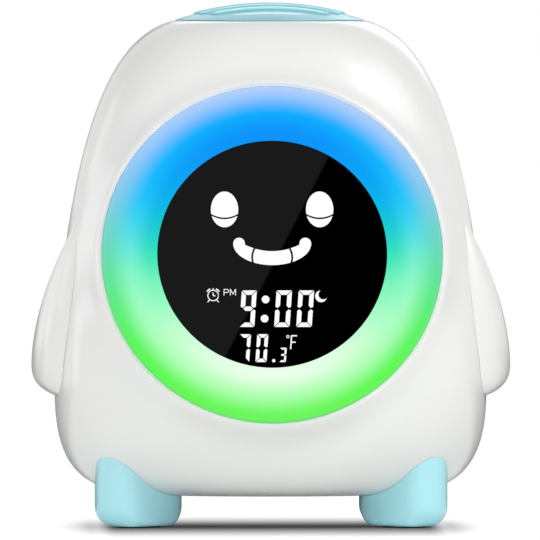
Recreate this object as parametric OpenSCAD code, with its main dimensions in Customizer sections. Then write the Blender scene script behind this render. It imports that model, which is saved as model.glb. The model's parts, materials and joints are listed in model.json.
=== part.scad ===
// Alarm clock with night light for a child's room, in the shape of a sitting penguin.
// A two-part moulded body leans back a little. It carries a glowing ring round a dark
// display window, a press-down pad on its crown, two wings and two long feet.
// Millimetres. +Z is up, the face looks along -Y, and the origin is on the table
// under the middle of the clock. Left and right are as seen from the front.

/* [Body] */
// Half of the body's width at the waist, its widest level
body_half_w = 61.8; // [58:0.1:66]
// Half of the body's depth at the waist
body_half_d = 46; // [43:0.1:50]
// Height of the waist above the table
waist_z = 40; // [38:0.5:44]
// Height of the body's full crown above the waist
upper_h = 106.6; // [102:0.1:114]
// Height of the waist above the body's flat underside
lower_h = 31.3; // [28:0.1:34]
// Distance of the body's middle behind the origin
body_y = 3.35; // [2:0.05:5]
// How far the crown leans back from the waist
lean = 9.3; // [6:0.1:12]
// Squareness of the plan outline at the waist (2 is an ellipse)
waist_square = 4.8; // [4:0.1:5.4]
// Squareness of the plan outline at the crown
crown_square = 2.3; // [2:0.05:2.6]
// Squareness of the plan outline at the underside
under_square = 2.2; // [2:0.05:2.6]
// Wall thickness of both body halves
wall = 2.2; // [1.8:0.1:2.6]
// Distance of the parting plane of the two halves behind the origin
parting_y = 12.3; // [10:0.1:14]

/* [Face] */
// Height of the middle of the face
face_z = 78.3; // [74:0.1:82]
// Backward tilt of the face, in degrees
face_tilt = 9.5; // [8:0.1:11]
// Distance of the face plane before the body's middle
face_out = 41.85; // [41:0.05:44]
// Outer radius of the light ring
ring_r = 48.4; // [47.4:0.1:49]
// Distance of the ring's crest inside its outer edge
crest_in = 4.4; // [3.4:0.1:5.9]
// Height of the crest before the face plane
crest_h = 4.5; // [3.5:0.1:5.5]
// Height of the ring's outer shoulder before the face plane
shoulder_h = 0.3; // [0.1:0.1:1]
// Height of the ring's inner lip before the face plane
lip_h = 1.5; // [1.2:0.1:2.5]
// Wall thickness of the light ring
ring_wall = 2; // [1.4:0.1:2.4]
// Width of the flange that holds the ring behind the collar
ring_flange_w = 2; // [1.5:0.1:2.2]
// Thickness of that flange
ring_flange_t = 1.5; // [1.2:0.1:2]
// Depth of the flange behind the face plane
ring_flange_depth = 3; // [2.5:0.1:4]
// Visible radius of the display window
window_r = 32.7; // [32:0.1:33.5]
// Thickness of the display lens
lens_t = 1.8; // [1.2:0.1:2.2]
// Depth of the lens front behind the ring's inner lip
lens_recess = 0.9; // [0.4:0.1:1.2]
// Width of the lens rim that the ring covers
lens_rim_w = 1.5; // [1:0.1:2]
// Flat land of the collar round the ring
collar_land = 1.6; // [1.2:0.1:2]
// Fall of the collar's flank per square millimetre outwards
collar_flare = 0.9; // [0.7:0.05:1.2]
// Width of the collar's flank
collar_w = 3.7; // [3.4:0.1:4]
// Play round the ring, and round the lens and the pieces behind it
face_gap = 0.15; // [0.1:0.05:0.25]
// Number of lights under the ring
ring_led_count = 16; // [8:1:24]
// Depth of the light tray's floor behind the face plane
tray_depth = 12; // [11:0.5:14]
// Wall thickness of the light tray
tray_wall = 1.4; // [1.2:0.1:1.8]

/* [Display] */
// Half of the distance between the eyes
eye_x = 13.55; // [12:0.05:15]
// Height of the eyes above the middle of the window
eye_y = 12.95; // [11:0.05:14]
// Half of an eye's width
eye_half_w = 4; // [3:0.1:5]
// Half of an eye's height
eye_half_h = 5.3; // [4:0.1:6]
// Radius of the smile's middle line
smile_r = 12.5; // [11:0.1:14]
// Height of the smile's centre above the middle of the window
smile_y = 11.4; // [10:0.1:13]
// Thickness of the smile
smile_t = 4; // [3:0.1:4.6]
// Half of the smile's angle
smile_half_angle = 48; // [40:1:55]
// Height of a time digit
time_digit_h = 10.5; // [9:0.1:11]
// Width of a time digit
time_digit_w = 4.4; // [4:0.1:5]
// Height of a temperature digit
temp_digit_h = 8; // [7:0.1:8.5]
// Width of a temperature digit
temp_digit_w = 3.4; // [3:0.1:4]
// Stroke of a time digit's bars
stroke = 1.35; // [1:0.05:1.6]
// Slant of the digits, as sideways run per height
slant = 0.07; // [0:0.01:0.12]
// Width of the line that parts an eye at its lower lid
lid_line = 0.34; // [0.2:0.02:0.5]

/* [Top pad] */
// Radius of the pad
pad_r = 27.2; // [25:0.1:28]
// Rise of the pad's dome above its rim
pad_rise = 4.4; // [2.5:0.1:5.2]
// Height of the pad's rim above the body's crown
pad_stand = 0.35; // [0.2:0.05:0.8]
// Wall thickness of the pad
pad_wall = 2; // [1.5:0.1:2.5]
// Height of the pad's skirt
pad_skirt_h = 4; // [3:0.5:5]
// Play between the pad and the body
pad_gap = 0.25; // [0.2:0.05:0.4]
// Flat land of the body round the pad
pad_land = 0.95; // [0.8:0.05:1.4]
// Travel of the pad
pad_travel = 1.3; // [0.8:0.1:1.5]
// Number of grip ribs across the pad
grip_count = 6; // [4:2:8]
// Distance between grip ribs
grip_pitch = 5.4; // [4.5:0.1:6]
// Width of a grip rib
grip_w = 2; // [1.4:0.1:2.4]
// Height of the grip ribs above the dome
grip_h = 0.6; // [0.4:0.1:0.9]
// Radius of the field of grip ribs
grip_field_r = 22; // [20:0.5:24]
// Radius of the pad's stem and of its three guide legs
pad_leg_r = 2; // [1.6:0.1:2.4]
// Distance of the guide legs from the pad's axis
pad_leg_pitch_r = 18; // [15:0.5:20]

/* [Wings] */
// Reach of the wings past the body's waist on each side
wing_reach = 6.8; // [5:0.1:9]
// Height of the lowest point of the wings
wing_low_z = 37.5; // [34:0.5:40]
// Height of the wing tips
wing_tip_z = 90.5; // [86:0.5:94]
// Half of the wings' depth from front to back
wing_half_d = 19.5; // [16:0.5:22]
// Distance of the wings' widest place before the origin
wing_front_y = 11; // [9:0.5:14]
// How far the wing tips reach forward of that place
wing_tip_forward = 11; // [8:0.5:13]
// Radius of the pegs that hold a wing
wing_peg_r = 2; // [1.5:0.1:2.5]

/* [Feet] */
// Distance of each foot's middle from the clock's middle
foot_x = 37.8; // [34:0.1:40]
// Half of a foot's width
foot_half_w = 12.55; // [11:0.05:13.5]
// Radius of the rounded lower edge of the feet
foot_edge_r = 4.6; // [3:0.1:5.5]
// Radius of the toe, at the outer front of each foot
toe_r = 6.2; // [4:0.1:8]
// Distance of the toe's centre before the origin
toe_y = 25.9; // [24:0.1:28]
// Distance of the instep's centre before the origin
instep_y = 11.5; // [9:0.5:14]
// Distance of the heel's centre behind the origin
heel_y = 25; // [20:0.5:28]
// Diameter of the rubber pads under the feet
rubber_d = 12.2; // [10:0.1:14]
// Thickness of the rubber pads
rubber_t = 1.2; // [0.8:0.1:2]
// How far the rubber pads stand out below the feet
rubber_out = 0.45; // [0.3:0.05:0.8]
// Distance of the foot screws before and behind the body's middle
foot_screw_dy = 23; // [20:0.5:25]

/* [Rear panel] */
// Width of the recessed key panel
panel_w = 62; // [60:1:66]
// Height of the recessed key panel
panel_h = 38; // [36:1:39]
// Height of the panel's middle
panel_z = 81.5; // [81:0.5:82]
// Distance of the panel's face behind the origin
panel_y = 47.6; // [47:0.1:48]
// Thickness of the panel
panel_t = 2.4; // [2:0.1:3]
// Radius of the keys
key_r = 4.5; // [3.5:0.1:5]
// Distance between key columns
key_pitch_x = 17; // [14:0.5:19]
// Distance between key rows
key_pitch_z = 13; // [12.5:0.5:13.5]
// Height of the lower key row above the panel's middle
key_row_z = -0.5; // [-1:0.5:0]
// How far the keys stand out of the panel
key_out = 1.6; // [1.2:0.1:2.2]
// Travel of the keys
key_travel = 0.9; // [0.5:0.1:1.1]
// Play round the keys
key_gap = 0.12; // [0.08:0.02:0.2]
// Travel of the alarm switch
slider_travel = 4; // [3:0.5:5]
// Height of the switch and the sockets below the panel's middle
socket_drop = 13; // [12.5:0.5:13.5]
// Sideways distance of the switch and the sockets from the middle
socket_x = 19; // [16:0.5:22]

/* [Battery bay] */
// Diameter of a backup cell
cell_d = 10.5; // [10:0.1:10.5]
// Length of a backup cell
cell_l = 44.5; // [43:0.1:44.5]
// Number of backup cells
cell_count = 3; // [2:1:3]
// Height of the middle of the bay
bay_z = 37; // [36.5:0.1:37.5]
// Play round the cells
cell_gap = 0.3; // [0.2:0.05:0.4]
// Wall thickness of the bay
bay_wall = 1.6; // [1.4:0.1:2]
// Width of the ledge that the door rests on
bay_ledge = 1.4; // [1:0.1:1.8]
// Room at the ends of the cells for the springs
spring_room = 3.2; // [3:0.1:4]
// Thickness of the door
door_t = 2; // [1.6:0.1:2.2]
// Play round the door
door_gap = 0.3; // [0.2:0.05:0.4]
// How far the door comes off
door_travel = 25; // [15:1:40]

/* [Speaker] */
// Radius of the speaker
speaker_r = 14; // [12:0.5:14.5]
// Height of the speaker's middle
speaker_z = 118.5; // [118:0.5:119]
// Radius of a sound hole
sound_hole_r = 0.9; // [0.6:0.1:1.1]
// Distance between rings of sound holes
sound_pitch = 2.8; // [2.4:0.1:2.9]
// Number of rings of sound holes
sound_rings = 4; // [3:1:4]

/* [Hidden] */

$fn = 48;
eps = 0.01;
touch = 0.05;          // gap between faces that rest on each other
through = 60;          // length of a cut or stand that runs out through the skin
skin_gap = 0.08;       // gap between the body's skin and what sits on it
columns = 48;          // points round a body ring
lower_steps = 11;      // body rings below the waist
upper_steps = 12;      // body rings above the waist
lowest_angle = 88;     // angle of the flat underside's edge
inner_columns = 32;    // points round a ring of the hollow
inner_lower_steps = 7;
inner_upper_steps = 9;

white = [0.93, 0.93, 0.92];
blue = [0.55, 0.82, 0.88];
black = [0.05, 0.05, 0.05];
green = [0.1, 0.35, 0.2];
steel = [0.7, 0.7, 0.72];
milk = [0.6, 0.95, 0.85];

// ---- the body's form ----

// A level of the body is named by an angle: -90 is the underside, 0 the waist and
// 90 the crown. Width, depth and height follow powers of its sine and cosine.
function half_w(angle) = body_half_w * pow(cos(angle), angle < 0 ? 0.294 : 0.445);
function half_d(angle) = body_half_d * pow(cos(angle), angle < 0 ? 0.30 : 0.26);
function rise(angle) = angle < 0 ? -lower_h * pow(sin(-angle), 0.769)
                                 : upper_h * pow(sin(angle), 1.25);
function lean_at(up) = up > 0 ? lean * pow(up / upper_h, 1.5) : 0;
function square_at(up) = up < 0
    ? waist_square + (waist_square - under_square) * up / lower_h
    : waist_square - (waist_square - crown_square) * pow(up / upper_h, 2);
function signed_pow(v, e) = sign(v) * pow(abs(v), e);
// Rear wall's inner face in the middle plane, at a height above the waist
function back_y(z) = body_y + lean_at(z - waist_z) + half_d(asin(pow((z - waist_z) / upper_h, 0.8))) - wall;

// Level at which the body is just wide enough for the pad's opening and its land
pad_open_r = pad_r + pad_gap;
rim_angle = acos(pow((pad_open_r + pad_land) / body_half_w, 1 / 0.445));
rim_z = waist_z + rise(rim_angle);
pad_y = body_y + lean_at(rise(rim_angle));

// One ring of the body, grown outwards by grow (negative for the hollow)
function body_ring(angle, grow, count) =
    let (up = rise(angle) * (1 + grow / (angle < 0 ? lower_h : upper_h)),
         e = 2 / square_at(rise(angle)), a = half_w(angle) + grow, b = half_d(angle) + grow)
    [for (i = [0:count - 1]) let (t = (i + 0.5) * 360 / count)
        [a * signed_pow(cos(t), e), body_y + lean_at(rise(angle)) + b * signed_pow(sin(t), e),
         waist_z + up]];

function body_angles(low, high) = concat(
    [for (i = [0:low - 1]) -lowest_angle * (1 - i / low)],
    [for (i = [0:high]) rim_angle * i / high]);

// Closed skin through a list of rings with the same number of points, bottom to top
module loft(rings) {
    n = len(rings[0]);
    last = len(rings) - 1;
    polyhedron(
        points = [for (ring = rings) each ring],
        faces = concat(
            [[for (i = [0:n - 1]) i]],
            [for (k = [0:last - 1], i = [0:n - 1]) let (j = (i + 1) % n)
                [k * n + i, (k + 1) * n + i, (k + 1) * n + j]],
            [for (k = [0:last - 1], i = [0:n - 1]) let (j = (i + 1) % n)
                [k * n + i, (k + 1) * n + j, k * n + j]],
            [[for (i = [0:n - 1]) last * n + n - 1 - i]]),
        convexity = 6);
}

// The body, or only the stretch of it between two levels and two columns, for what
// meets its skin there. Column 0 is at the right and the columns run round by the back.
module body_solid(grow = 0, low = -90, high = 90, first = 0, last = columns - 1) {
    loft([for (angle = body_angles(lower_steps, upper_steps)) if (angle >= low && angle <= high)
        let (ring = body_ring(angle, grow, columns))
        [for (i = [first:last]) ring[(i + columns) % columns]]]);
}

module body_hollow() {
    loft([for (angle = body_angles(inner_lower_steps, inner_upper_steps))
        body_ring(angle, -wall, inner_columns)]);
}

module front_half() { translate([-100, -100, -10]) cube([200, 100 + parting_y, 200]); }
module rear_half() { translate([-100, parting_y, -10]) cube([200, 100, 200]); }

// ---- shared placements ----

// Face frame: x to the right, y up along the face, z out of the face
module on_face() {
    translate([0, body_y - face_out, face_z]) rotate([90 - face_tilt, 0, 0]) children();
}
module on_pad_axis(z) { translate([0, pad_y, z]) children(); }
// A round bar along +Y that starts at the given place
module bar_y(x, y, z, r, length) { translate([x, y, z]) rotate([-90, 0, 0]) cylinder(r = r, h = length); }
module mirrored() { children(); mirror([1, 0, 0]) children(); }
module ring_tube(inner, outer, h) {
    difference() {
        cylinder(r = outer, h = h);
        translate([0, 0, -1]) cylinder(r = inner, h = h + 2);
    }
}
module round_block(w, h, t, r) {
    linear_extrude(t) rounded_rect(w, h, r);
}
module rounded_rect(w, h, r) {
    square([w - 2 * r, h], center = true);
    square([w, h - 2 * r], center = true);
    for (x = [-1, 1], y = [-1, 1]) translate([x * (w / 2 - r), y * (h / 2 - r)]) circle(r);
}
// A pan-head screw along +Z: its head's underside is at z = 0 and its shank points up
module screw(shank_r, length, head_r, head_h) {
    cylinder(r = shank_r, h = length);
    translate([0, 0, -head_h]) difference() {
        cylinder(r = head_r, h = head_h);
        for (turn = [0, 90]) rotate(turn) translate([-head_r * 0.6, -0.3, -1]) cube([head_r * 1.2, 0.6, 1.6]);
    }
}

// ---- tube along a path, for springs and leads ----

function unit(v) = v / norm(v);
function tangent(path, i) = unit(path[min(i + 1, len(path) - 1)] - path[max(i - 1, 0)]);
module tube(path, r, sides, up) {
    loft([for (i = [0:len(path) - 1])
        let (t = tangent(path, i), side = unit(cross(up, t)), over = cross(t, side))
        [for (s = [0:sides - 1]) let (a = s * 360 / sides)
            path[i] + r * (cos(a) * side + sin(a) * over)]]);
}
// Smooth path between two ends that leave along the given directions
function lead_path(a, da, b, db, steps) = [for (i = [0:steps]) let (t = i / steps, s = 1 - t)
    s * s * s * a + 3 * s * s * t * (a + da) + 3 * s * t * t * (b + db) + t * t * t * b];

// ---- screws and bosses of the case ----

screw_pilot_r = 1.2;
screw_shank_r = 1.15;
screw_clear_r = 1.7;
screw_play = 0.1;
screw_head_r = 2.6;
screw_head_h = 1.8;
head_play = 0.4;
case_boss_r = 3.6;
case_boss_l = 20;
case_well_r = 4;                       // outside of the posts in the rear half
case_screw_l = 12;
case_pilot_l = 14;
case_rib_t = 2;
case_seat_t = 4;                       // material under a case screw's head
small_screw_l = 6;
small_pilot_l = 6;
small_head_h = 1.4;
board_screw_l = 7;
case_screw_places = [[50, 32], [40, 112]];

module case_screw_places() {
    for (p = case_screw_places) mirrored() translate([p[0], parting_y, p[1]]) children();
}

// ---- face: collar, ring, tray ----

crest_r = ring_r - crest_in;
seat_r = ring_r + face_gap;
collar_r = ring_r + collar_land;
flange_r = ring_r + ring_flange_w;
pocket_r = flange_r + face_gap;
flange_back = ring_flange_depth + ring_flange_t;
lens_r = window_r + lens_rim_w;
lens_front_h = lip_h - lens_recess;
lens_back_h = lens_front_h - lens_t;
tray_floor_t = 2;
tray_boss_out = 4.4;                   // distance of the tray's screws outside the ring's flange
tray_boss_pitch_r = flange_r + tray_boss_out;
tray_boss_r = 3;
tray_ear_r = 3.1;
tray_room = 8;                         // free depth behind the tray's floor
tray_outer_r = flange_r - 0.2;
tray_inner_r = window_r + face_gap;
display_ledge_w = 3.5;
display_ledge_t = 1.6;
mask_t = 4;
board_t = 1.6;
display_back_h = lens_back_h - touch - mask_t - touch - board_t;
collar_steps = 10;

module face_collar() {
    rotate_extrude() polygon(concat(
        [[seat_r, 0]],
        [for (i = [0:collar_steps]) let (d = collar_w * i / collar_steps)
            [collar_r + d, -collar_flare * d * d]],
        [[pocket_r, -collar_flare * collar_w * collar_w], [pocket_r, -ring_flange_depth],
         [seat_r, -ring_flange_depth]]));
}

module tray_boss_places() {
    for (turn = [45:90:315]) rotate(turn) translate([tray_boss_pitch_r, 0, 0]) children();
}

// Height of the ring's skin before the face plane: a quarter ellipse outside the
// crest and a gentle fall inside it
function skin_h(r) = r > crest_r
    ? shoulder_h + (crest_h - shoulder_h) * sqrt(max(0, 1 - pow((r - crest_r) / (ring_r - crest_r), 2)))
    : lip_h + (crest_h - lip_h) * (1 - pow((crest_r - r) / (crest_r - window_r), 1.6));
skin_steps = 12;
shoulder_steps = 8;
lip_r = window_r + 0.05;
leg_in_r = lens_r + 0.25;
leg_out_r = leg_in_r + 1.75;
leg_depth = 4;
lip_under_h = lens_front_h + touch;

// ---- wings, feet ----

function wing_outline(v) = v < 0 ? cos(90 * v) : 1 - pow(v, 1.75);
wing_core_x = 54;
wing_broad = 0.19;                     // share of the wing's height below its broadest level
wing_half_w = body_half_w + wing_reach - wing_core_x;
function wing_level(v) = let (s = v < 0 ? wing_broad * (1 - pow(sin(-90 * v), 0.77))
                                        : wing_broad + (1 - wing_broad) * v)
    wing_low_z + (wing_tip_z - wing_low_z) * s;
function wing_ring(v, count) =
    let (w = wing_half_w * wing_outline(v), d = wing_half_d * (v < 0 ? pow(cos(90 * v), 0.6) : wing_outline(v)),
         forward = v < 0 ? 0 : wing_tip_forward * pow(v, 1.2), e = 2 / 2.3)
    [for (i = [0:count - 1]) let (t = (i + 0.5) * 360 / count)
        [wing_core_x + w * signed_pow(cos(t), e), -wing_front_y - forward + d * signed_pow(sin(t), e),
         wing_level(v)]];
wing_columns = 28;
wing_lower_steps = 6;
wing_upper_steps = 10;
wing_levels = concat([for (i = [0:wing_lower_steps - 1]) -0.97 + 0.97 * i / wing_lower_steps],
                     [for (i = [0:wing_upper_steps]) 0.97 * i / wing_upper_steps]);
wing_peg_places = [[-10, 49], [-14, 66]];
wing_peg_in = 8;                       // how far a peg reaches inwards of the waist's width
wing_peg_out = 3;                      // and how far into the wing, at the wing's lowest point
wing_peg_fall = 1 / 12;                // less for each millimetre above that point
wing_peg_play = 0.1;

foot_screw_y = [body_y - foot_screw_dy, body_y + foot_screw_dy];
foot_boss_r = 4;
foot_boss_top = 24;
foot_screw_seat = 4.5;                 // height of the screw head's seat in a foot
foot_screw_l = 13;
rubber_gap = 0.1;
foot_h = 30;
heel_in = 0.6;                         // how much narrower the heel is on each side

// ---- pad ----

pad_well_floor_t = 2;
pad_well_wall = 1.8;
pad_well_room = 2.6;                   // between the pad's skirt and the well's floor
pad_rim_z = rim_z + pad_stand;
pad_skirt_z = pad_rim_z - pad_skirt_h;
well_floor_z = pad_skirt_z - pad_well_room;
dome_r = (pad_r * pad_r + pad_rise * pad_rise) / (2 * pad_rise);
pad_leg_gap = 0.08;
pad_hook_r = pad_leg_r + 0.9;
pad_hook_h = 1.2;
pad_board_w = 32;
pad_board_d = 17;
pad_board_drop = 7.5;                  // board's top below the well's floor
pad_board_z = well_floor_z - pad_well_floor_t - pad_board_drop;
pad_post_x = 12;
pad_post_y = 5;
pad_post_r = 2.6;
switch_w = 6;
switch_h = 4;
switch_hole_r = pad_leg_r + 0.1;
stem_in = 0.8;                         // how deep a stem sits in its switch at rest
spring_r = 4;
spring_wire_r = 0.35;
spring_turns = 3.5;

// ---- rear panel, sockets, boards ----

panel_back_y = panel_y - panel_t;
panel_corner_r = 6;
panel_edge_t = 2;
key_columns = [-1, 0, 1];
key_flange_r = key_r + 0.9;
key_flange_t = 1.1;
key_stem_r = 1.75;
key_switch_h = 3.6;
main_board_y = 37.6;                   // rear face of the main board
key_switch_y = main_board_y + key_switch_h;
board_w = 64;
board_half_h = 19.5;
board_top_z = panel_z + board_half_h;
board_low_z = panel_z - board_half_h;
board_boss_r = 2.5;
board_boss_x = 28.6;
board_boss_z = 16.8;
socket_w = 9;
socket_hgt = 3.3;
socket_wall = 0.35;
socket_gap = 0.2;
socket_in = 0.3;                       // how far its mouth lies behind the panel's face
socket_floor_t = 1.5;
tongue_w = 6.4;
tongue_t = 0.7;
tongue_in = 1.3;                       // how far the tongue's end lies behind the panel's face
socket_z = panel_z - socket_drop;
slider_w = 3;
slider_hgt = 2.6;
slider_gap = 0.15;
reset_r = 1;
vent_x = 39;
vent_w = 1.2;
vent_h = 9;
vent_pitch = 3;

function key_x(column) = column * key_pitch_x;
function key_z(row) = panel_z + key_row_z + row * key_pitch_z;

// ---- battery bay ----

bay_w = cell_l + spring_room + 2 * cell_gap;
bay_h = cell_count * cell_d + (cell_count + 1) * cell_gap;
bay_back_y = 44;                       // rear face of the ledge, where the door seats
bay_floor_y = bay_back_y - cell_d - 1.6;
door_w = bay_w + 2 * bay_ledge;
door_h = bay_h + 2 * bay_ledge;
door_corner_r = 3;
door_screw_r = 1.4;
door_lug_h = 5.4;                      // height of the lug that takes the door's screw
door_lug_w = 8;
door_screw_l = 7;
door_pilot_l = 10;
function cell_z(i) = bay_z + (i - (cell_count - 1) / 2) * (cell_d + cell_gap);
cell_y = bay_floor_y + cell_gap + cell_d / 2;

// ---- speaker ----

speaker_gap = 0.3;
speaker_seat_wall = 1.6;
speaker_ledge = 2;
speaker_rim_t = 1.4;
speaker_room = 3.85;                   // free depth behind the top of the speaker's rim
speaker_rim_y = back_y(speaker_z + speaker_r) - speaker_room;
speaker_seat_y = speaker_rim_y - 6.2;  // front end of the seat's tube
speaker_depth = 7;
magnet_r = 8.5;
magnet_h = 5;
clamp_t = 1.6;

// ================= sub-parts =================

// What stands in the hollow of both halves: the well under the pad, and its floor
module pad_well() {
    on_pad_axis(well_floor_z - pad_well_floor_t) {
        cylinder(r = pad_open_r + pad_well_wall, h = pad_well_floor_t);
        ring_tube(pad_open_r, pad_open_r + pad_well_wall, rim_z - well_floor_z + pad_well_floor_t);
    }
}
module pad_well_cuts() {
    on_pad_axis(well_floor_z) cylinder(r = pad_open_r, h = through);
    on_pad_axis(well_floor_z - 2 * pad_well_floor_t) {
        cylinder(r = pad_leg_r + pad_leg_gap, h = 3 * pad_well_floor_t);
        pad_leg_places() cylinder(r = pad_leg_r + pad_leg_gap, h = 3 * pad_well_floor_t);
    }
}
module pad_leg_places() {
    for (turn = [30, 150, 270]) rotate(turn) translate([pad_leg_pitch_r, 0, 0]) children();
}
module pad_post_places() {
    for (x = [-1, 1]) translate([x * pad_post_x, -pad_post_y, 0]) children();
}
module foot_boss(y) { mirrored() translate([foot_x, y, 0]) cylinder(r = foot_boss_r, h = foot_boss_top); }
module foot_pilot(y) { mirrored() translate([foot_x, y, 0]) cylinder(r = screw_pilot_r, h = foot_boss_top - 2); }

module front_stands() {
    on_face() {
        difference() {
            face_collar();
            translate([0, 0, -tray_depth - through]) cylinder(r = collar_r + collar_w + 1, h = through + touch);
        }
        tray_boss_places() translate([0, 0, -tray_depth]) cylinder(r = tray_boss_r, h = tray_depth);
    }
    case_screw_places() {
        translate([0, -case_boss_l, 0]) rotate([-90, 0, 0]) cylinder(r = case_boss_r, h = case_boss_l);
        translate([0, -case_boss_l, -case_rib_t / 2]) cube([through, case_boss_l, case_rib_t]);
    }
    pad_well();
    on_pad_axis(pad_board_z) pad_post_places() cylinder(r = pad_post_r, h = pad_board_drop + pad_well_floor_t);
    foot_boss(foot_screw_y[0]);
}

module front_shell() {
    color(white)
    difference() {
        union() {
            body_solid();
            on_face() face_collar();
        }
        difference() {
            body_hollow();
            front_stands();
        }
        on_face() {
            translate([0, 0, -ring_flange_depth]) cylinder(r = seat_r, h = through);
            translate([0, 0, -tray_depth - tray_room])
                cylinder(r = pocket_r, h = tray_depth + tray_room - ring_flange_depth);
            tray_boss_places() {
                translate([0, 0, -tray_depth - eps]) cylinder(r = screw_pilot_r, h = small_pilot_l);
                translate([0, 0, -tray_depth - tray_room]) cylinder(r = tray_ear_r + face_gap, h = tray_room - touch);
            }
        }
        pad_well_cuts();
        on_pad_axis(pad_board_z - eps) pad_post_places() cylinder(r = screw_pilot_r, h = small_pilot_l);
        case_screw_places() translate([0, -case_pilot_l, 0])
            rotate([-90, 0, 0]) cylinder(r = screw_pilot_r, h = case_pilot_l + 1);
        foot_pilot(foot_screw_y[0]);
        for (p = wing_peg_places) mirrored()
            translate([body_half_w - 2.5 * wing_peg_in, p[0], p[1]])
                rotate([0, 90, 0]) cylinder(r = wing_peg_r + wing_peg_play, h = through);
        rear_half();
    }
}

module panel_outline(w, h, t) {
    rotate([90, 0, 0]) mirror([0, 0, 1]) round_block(w, h, t, panel_corner_r);
}
module rear_stands() {
    case_screw_places() rotate([-90, 0, 0]) cylinder(r = case_well_r, h = through);
    // panel behind the keys and sockets
    translate([0, panel_back_y, panel_z]) panel_outline(panel_w + 2 * panel_edge_t, panel_h + 2 * panel_edge_t, through);
    for (x = [-1, 1], z = [-1, 1])
        bar_y(x * board_boss_x, main_board_y, panel_z + z * board_boss_z, board_boss_r, panel_back_y - main_board_y + 1);
    // speaker seat
    translate([0, speaker_seat_y, speaker_z]) rotate([-90, 0, 0]) {
        ring_tube(speaker_r + speaker_gap, speaker_r + speaker_gap + speaker_seat_wall, through);
        translate([0, 0, speaker_rim_y - speaker_seat_y])
            ring_tube(speaker_r - speaker_ledge, speaker_r + speaker_seat_wall, through);
    }
    // battery bay with the lug for the door's screw
    translate([-bay_w / 2 - bay_wall - bay_ledge, bay_floor_y - bay_wall, bay_z - bay_h / 2 - bay_wall - bay_ledge])
        cube([bay_w + 2 * bay_wall + 2 * bay_ledge, through, bay_h + 2 * bay_wall + 2 * bay_ledge]);
    pad_well();
    foot_boss(foot_screw_y[1]);
}

module sound_holes() {
    cylinder(r = sound_hole_r, h = through);
    for (ring = [1:sound_rings], i = [0:6 * ring - 1])
        rotate(i * 60 / ring) translate([ring * sound_pitch, 0, 0]) cylinder(r = sound_hole_r, h = through);
}

module slot_xz(w, h, t) { rotate([90, 0, 0]) mirror([0, 0, 1]) round_block(w, h, t, h / 2 - eps); }

module rear_shell() {
    color(white)
    difference() {
        body_solid();
        difference() {
            body_hollow();
            rear_stands();
        }
        front_half();
        pad_well_cuts();
        foot_pilot(foot_screw_y[1]);
        case_screw_places() translate([0, -eps, 0]) {
            rotate([-90, 0, 0]) cylinder(r = screw_clear_r, h = through);
            translate([0, case_seat_t, 0]) rotate([-90, 0, 0]) cylinder(r = screw_head_r + head_play, h = through);
        }
        // key panel
        translate([0, panel_y, panel_z]) panel_outline(panel_w, panel_h, through);
        for (column = key_columns, row = [0, 1])
            bar_y(key_x(column), panel_back_y - 1, key_z(row), key_r + key_gap, panel_t + 2);
        translate([-socket_x - slider_w / 2 - slider_gap, panel_back_y - 1, socket_z - slider_hgt / 2 - slider_gap])
            cube([slider_w + slider_travel + 2 * slider_gap, panel_t + 2, slider_hgt + 2 * slider_gap]);
        translate([socket_x, panel_back_y - 1, socket_z])
            slot_xz(socket_w + 2 * socket_gap, socket_hgt + 2 * socket_gap, panel_t + 2);
        bar_y(0, panel_back_y - 1, socket_z, reset_r, panel_t + 2);
        for (x = [-1, 1], z = [-1, 1])
            bar_y(x * board_boss_x, main_board_y - eps, panel_z + z * board_boss_z, screw_pilot_r, small_pilot_l);
        // sound holes and side vents
        translate([0, speaker_seat_y, speaker_z]) rotate([-90, 0, 0]) sound_holes();
        for (i = [-1:1]) translate([vent_x + i * vent_pitch - vent_w / 2, main_board_y, socket_z - vent_h / 2])
            cube([vent_w, through, vent_h]);
        // battery bay and the door's opening
        translate([-bay_w / 2, bay_floor_y, bay_z - bay_h / 2]) cube([bay_w, through, bay_h]);
        translate([0, bay_back_y, bay_z]) door_outline(0, through);
        bar_y(0, bay_back_y - door_pilot_l, door_screw_z, door_screw_r + screw_play, door_pilot_l + 1);
    }
}

door_screw_z = bay_z + bay_h / 2 + bay_ledge + door_lug_h / 2 - 1;
module door_outline(shrink, t) {
    rotate([90, 0, 0]) mirror([0, 0, 1]) linear_extrude(t) {
        rounded_rect(door_w - 2 * shrink, door_h - 2 * shrink, door_corner_r);
        translate([0, door_h / 2]) rounded_rect(door_lug_w - 2 * shrink, 2 * door_lug_h - 2 * shrink, door_corner_r);
    }
}

// The door's skin is part of the body's own skin
module battery_door() {
    color(white)
    difference() {
        intersection() {
            body_solid(0, -80, 40, 2, columns / 2 - 3);
            translate([0, bay_back_y + touch, bay_z]) door_outline(door_gap, through);
        }
        bar_y(0, bay_back_y - 1, door_screw_z, door_screw_r + screw_play, through);
        bar_y(0, bay_back_y + door_t, door_screw_z, screw_head_r, through);
    }
}
module door_screw() {
    color(steel) translate([0, bay_back_y + door_t + touch, door_screw_z]) rotate([90, 0, 0])
        screw(door_screw_r, door_screw_l, screw_head_r - screw_play, small_head_h);
}

module wing() {
    color(white) {
        difference() {
            loft([for (v = wing_levels) wing_ring(v, wing_columns)]);
            body_solid(skin_gap, -25, 60, -columns / 4, columns / 4 - 1);
        }
        for (p = wing_peg_places) translate([body_half_w - wing_peg_in, p[0], p[1]]) rotate([0, 90, 0])
            cylinder(r = wing_peg_r, h = wing_peg_in + wing_peg_out - (p[1] - wing_low_z) * wing_peg_fall);
    }
}
module left_wing() { mirror([1, 0, 0]) wing(); }
module right_wing() { wing(); }

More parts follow.
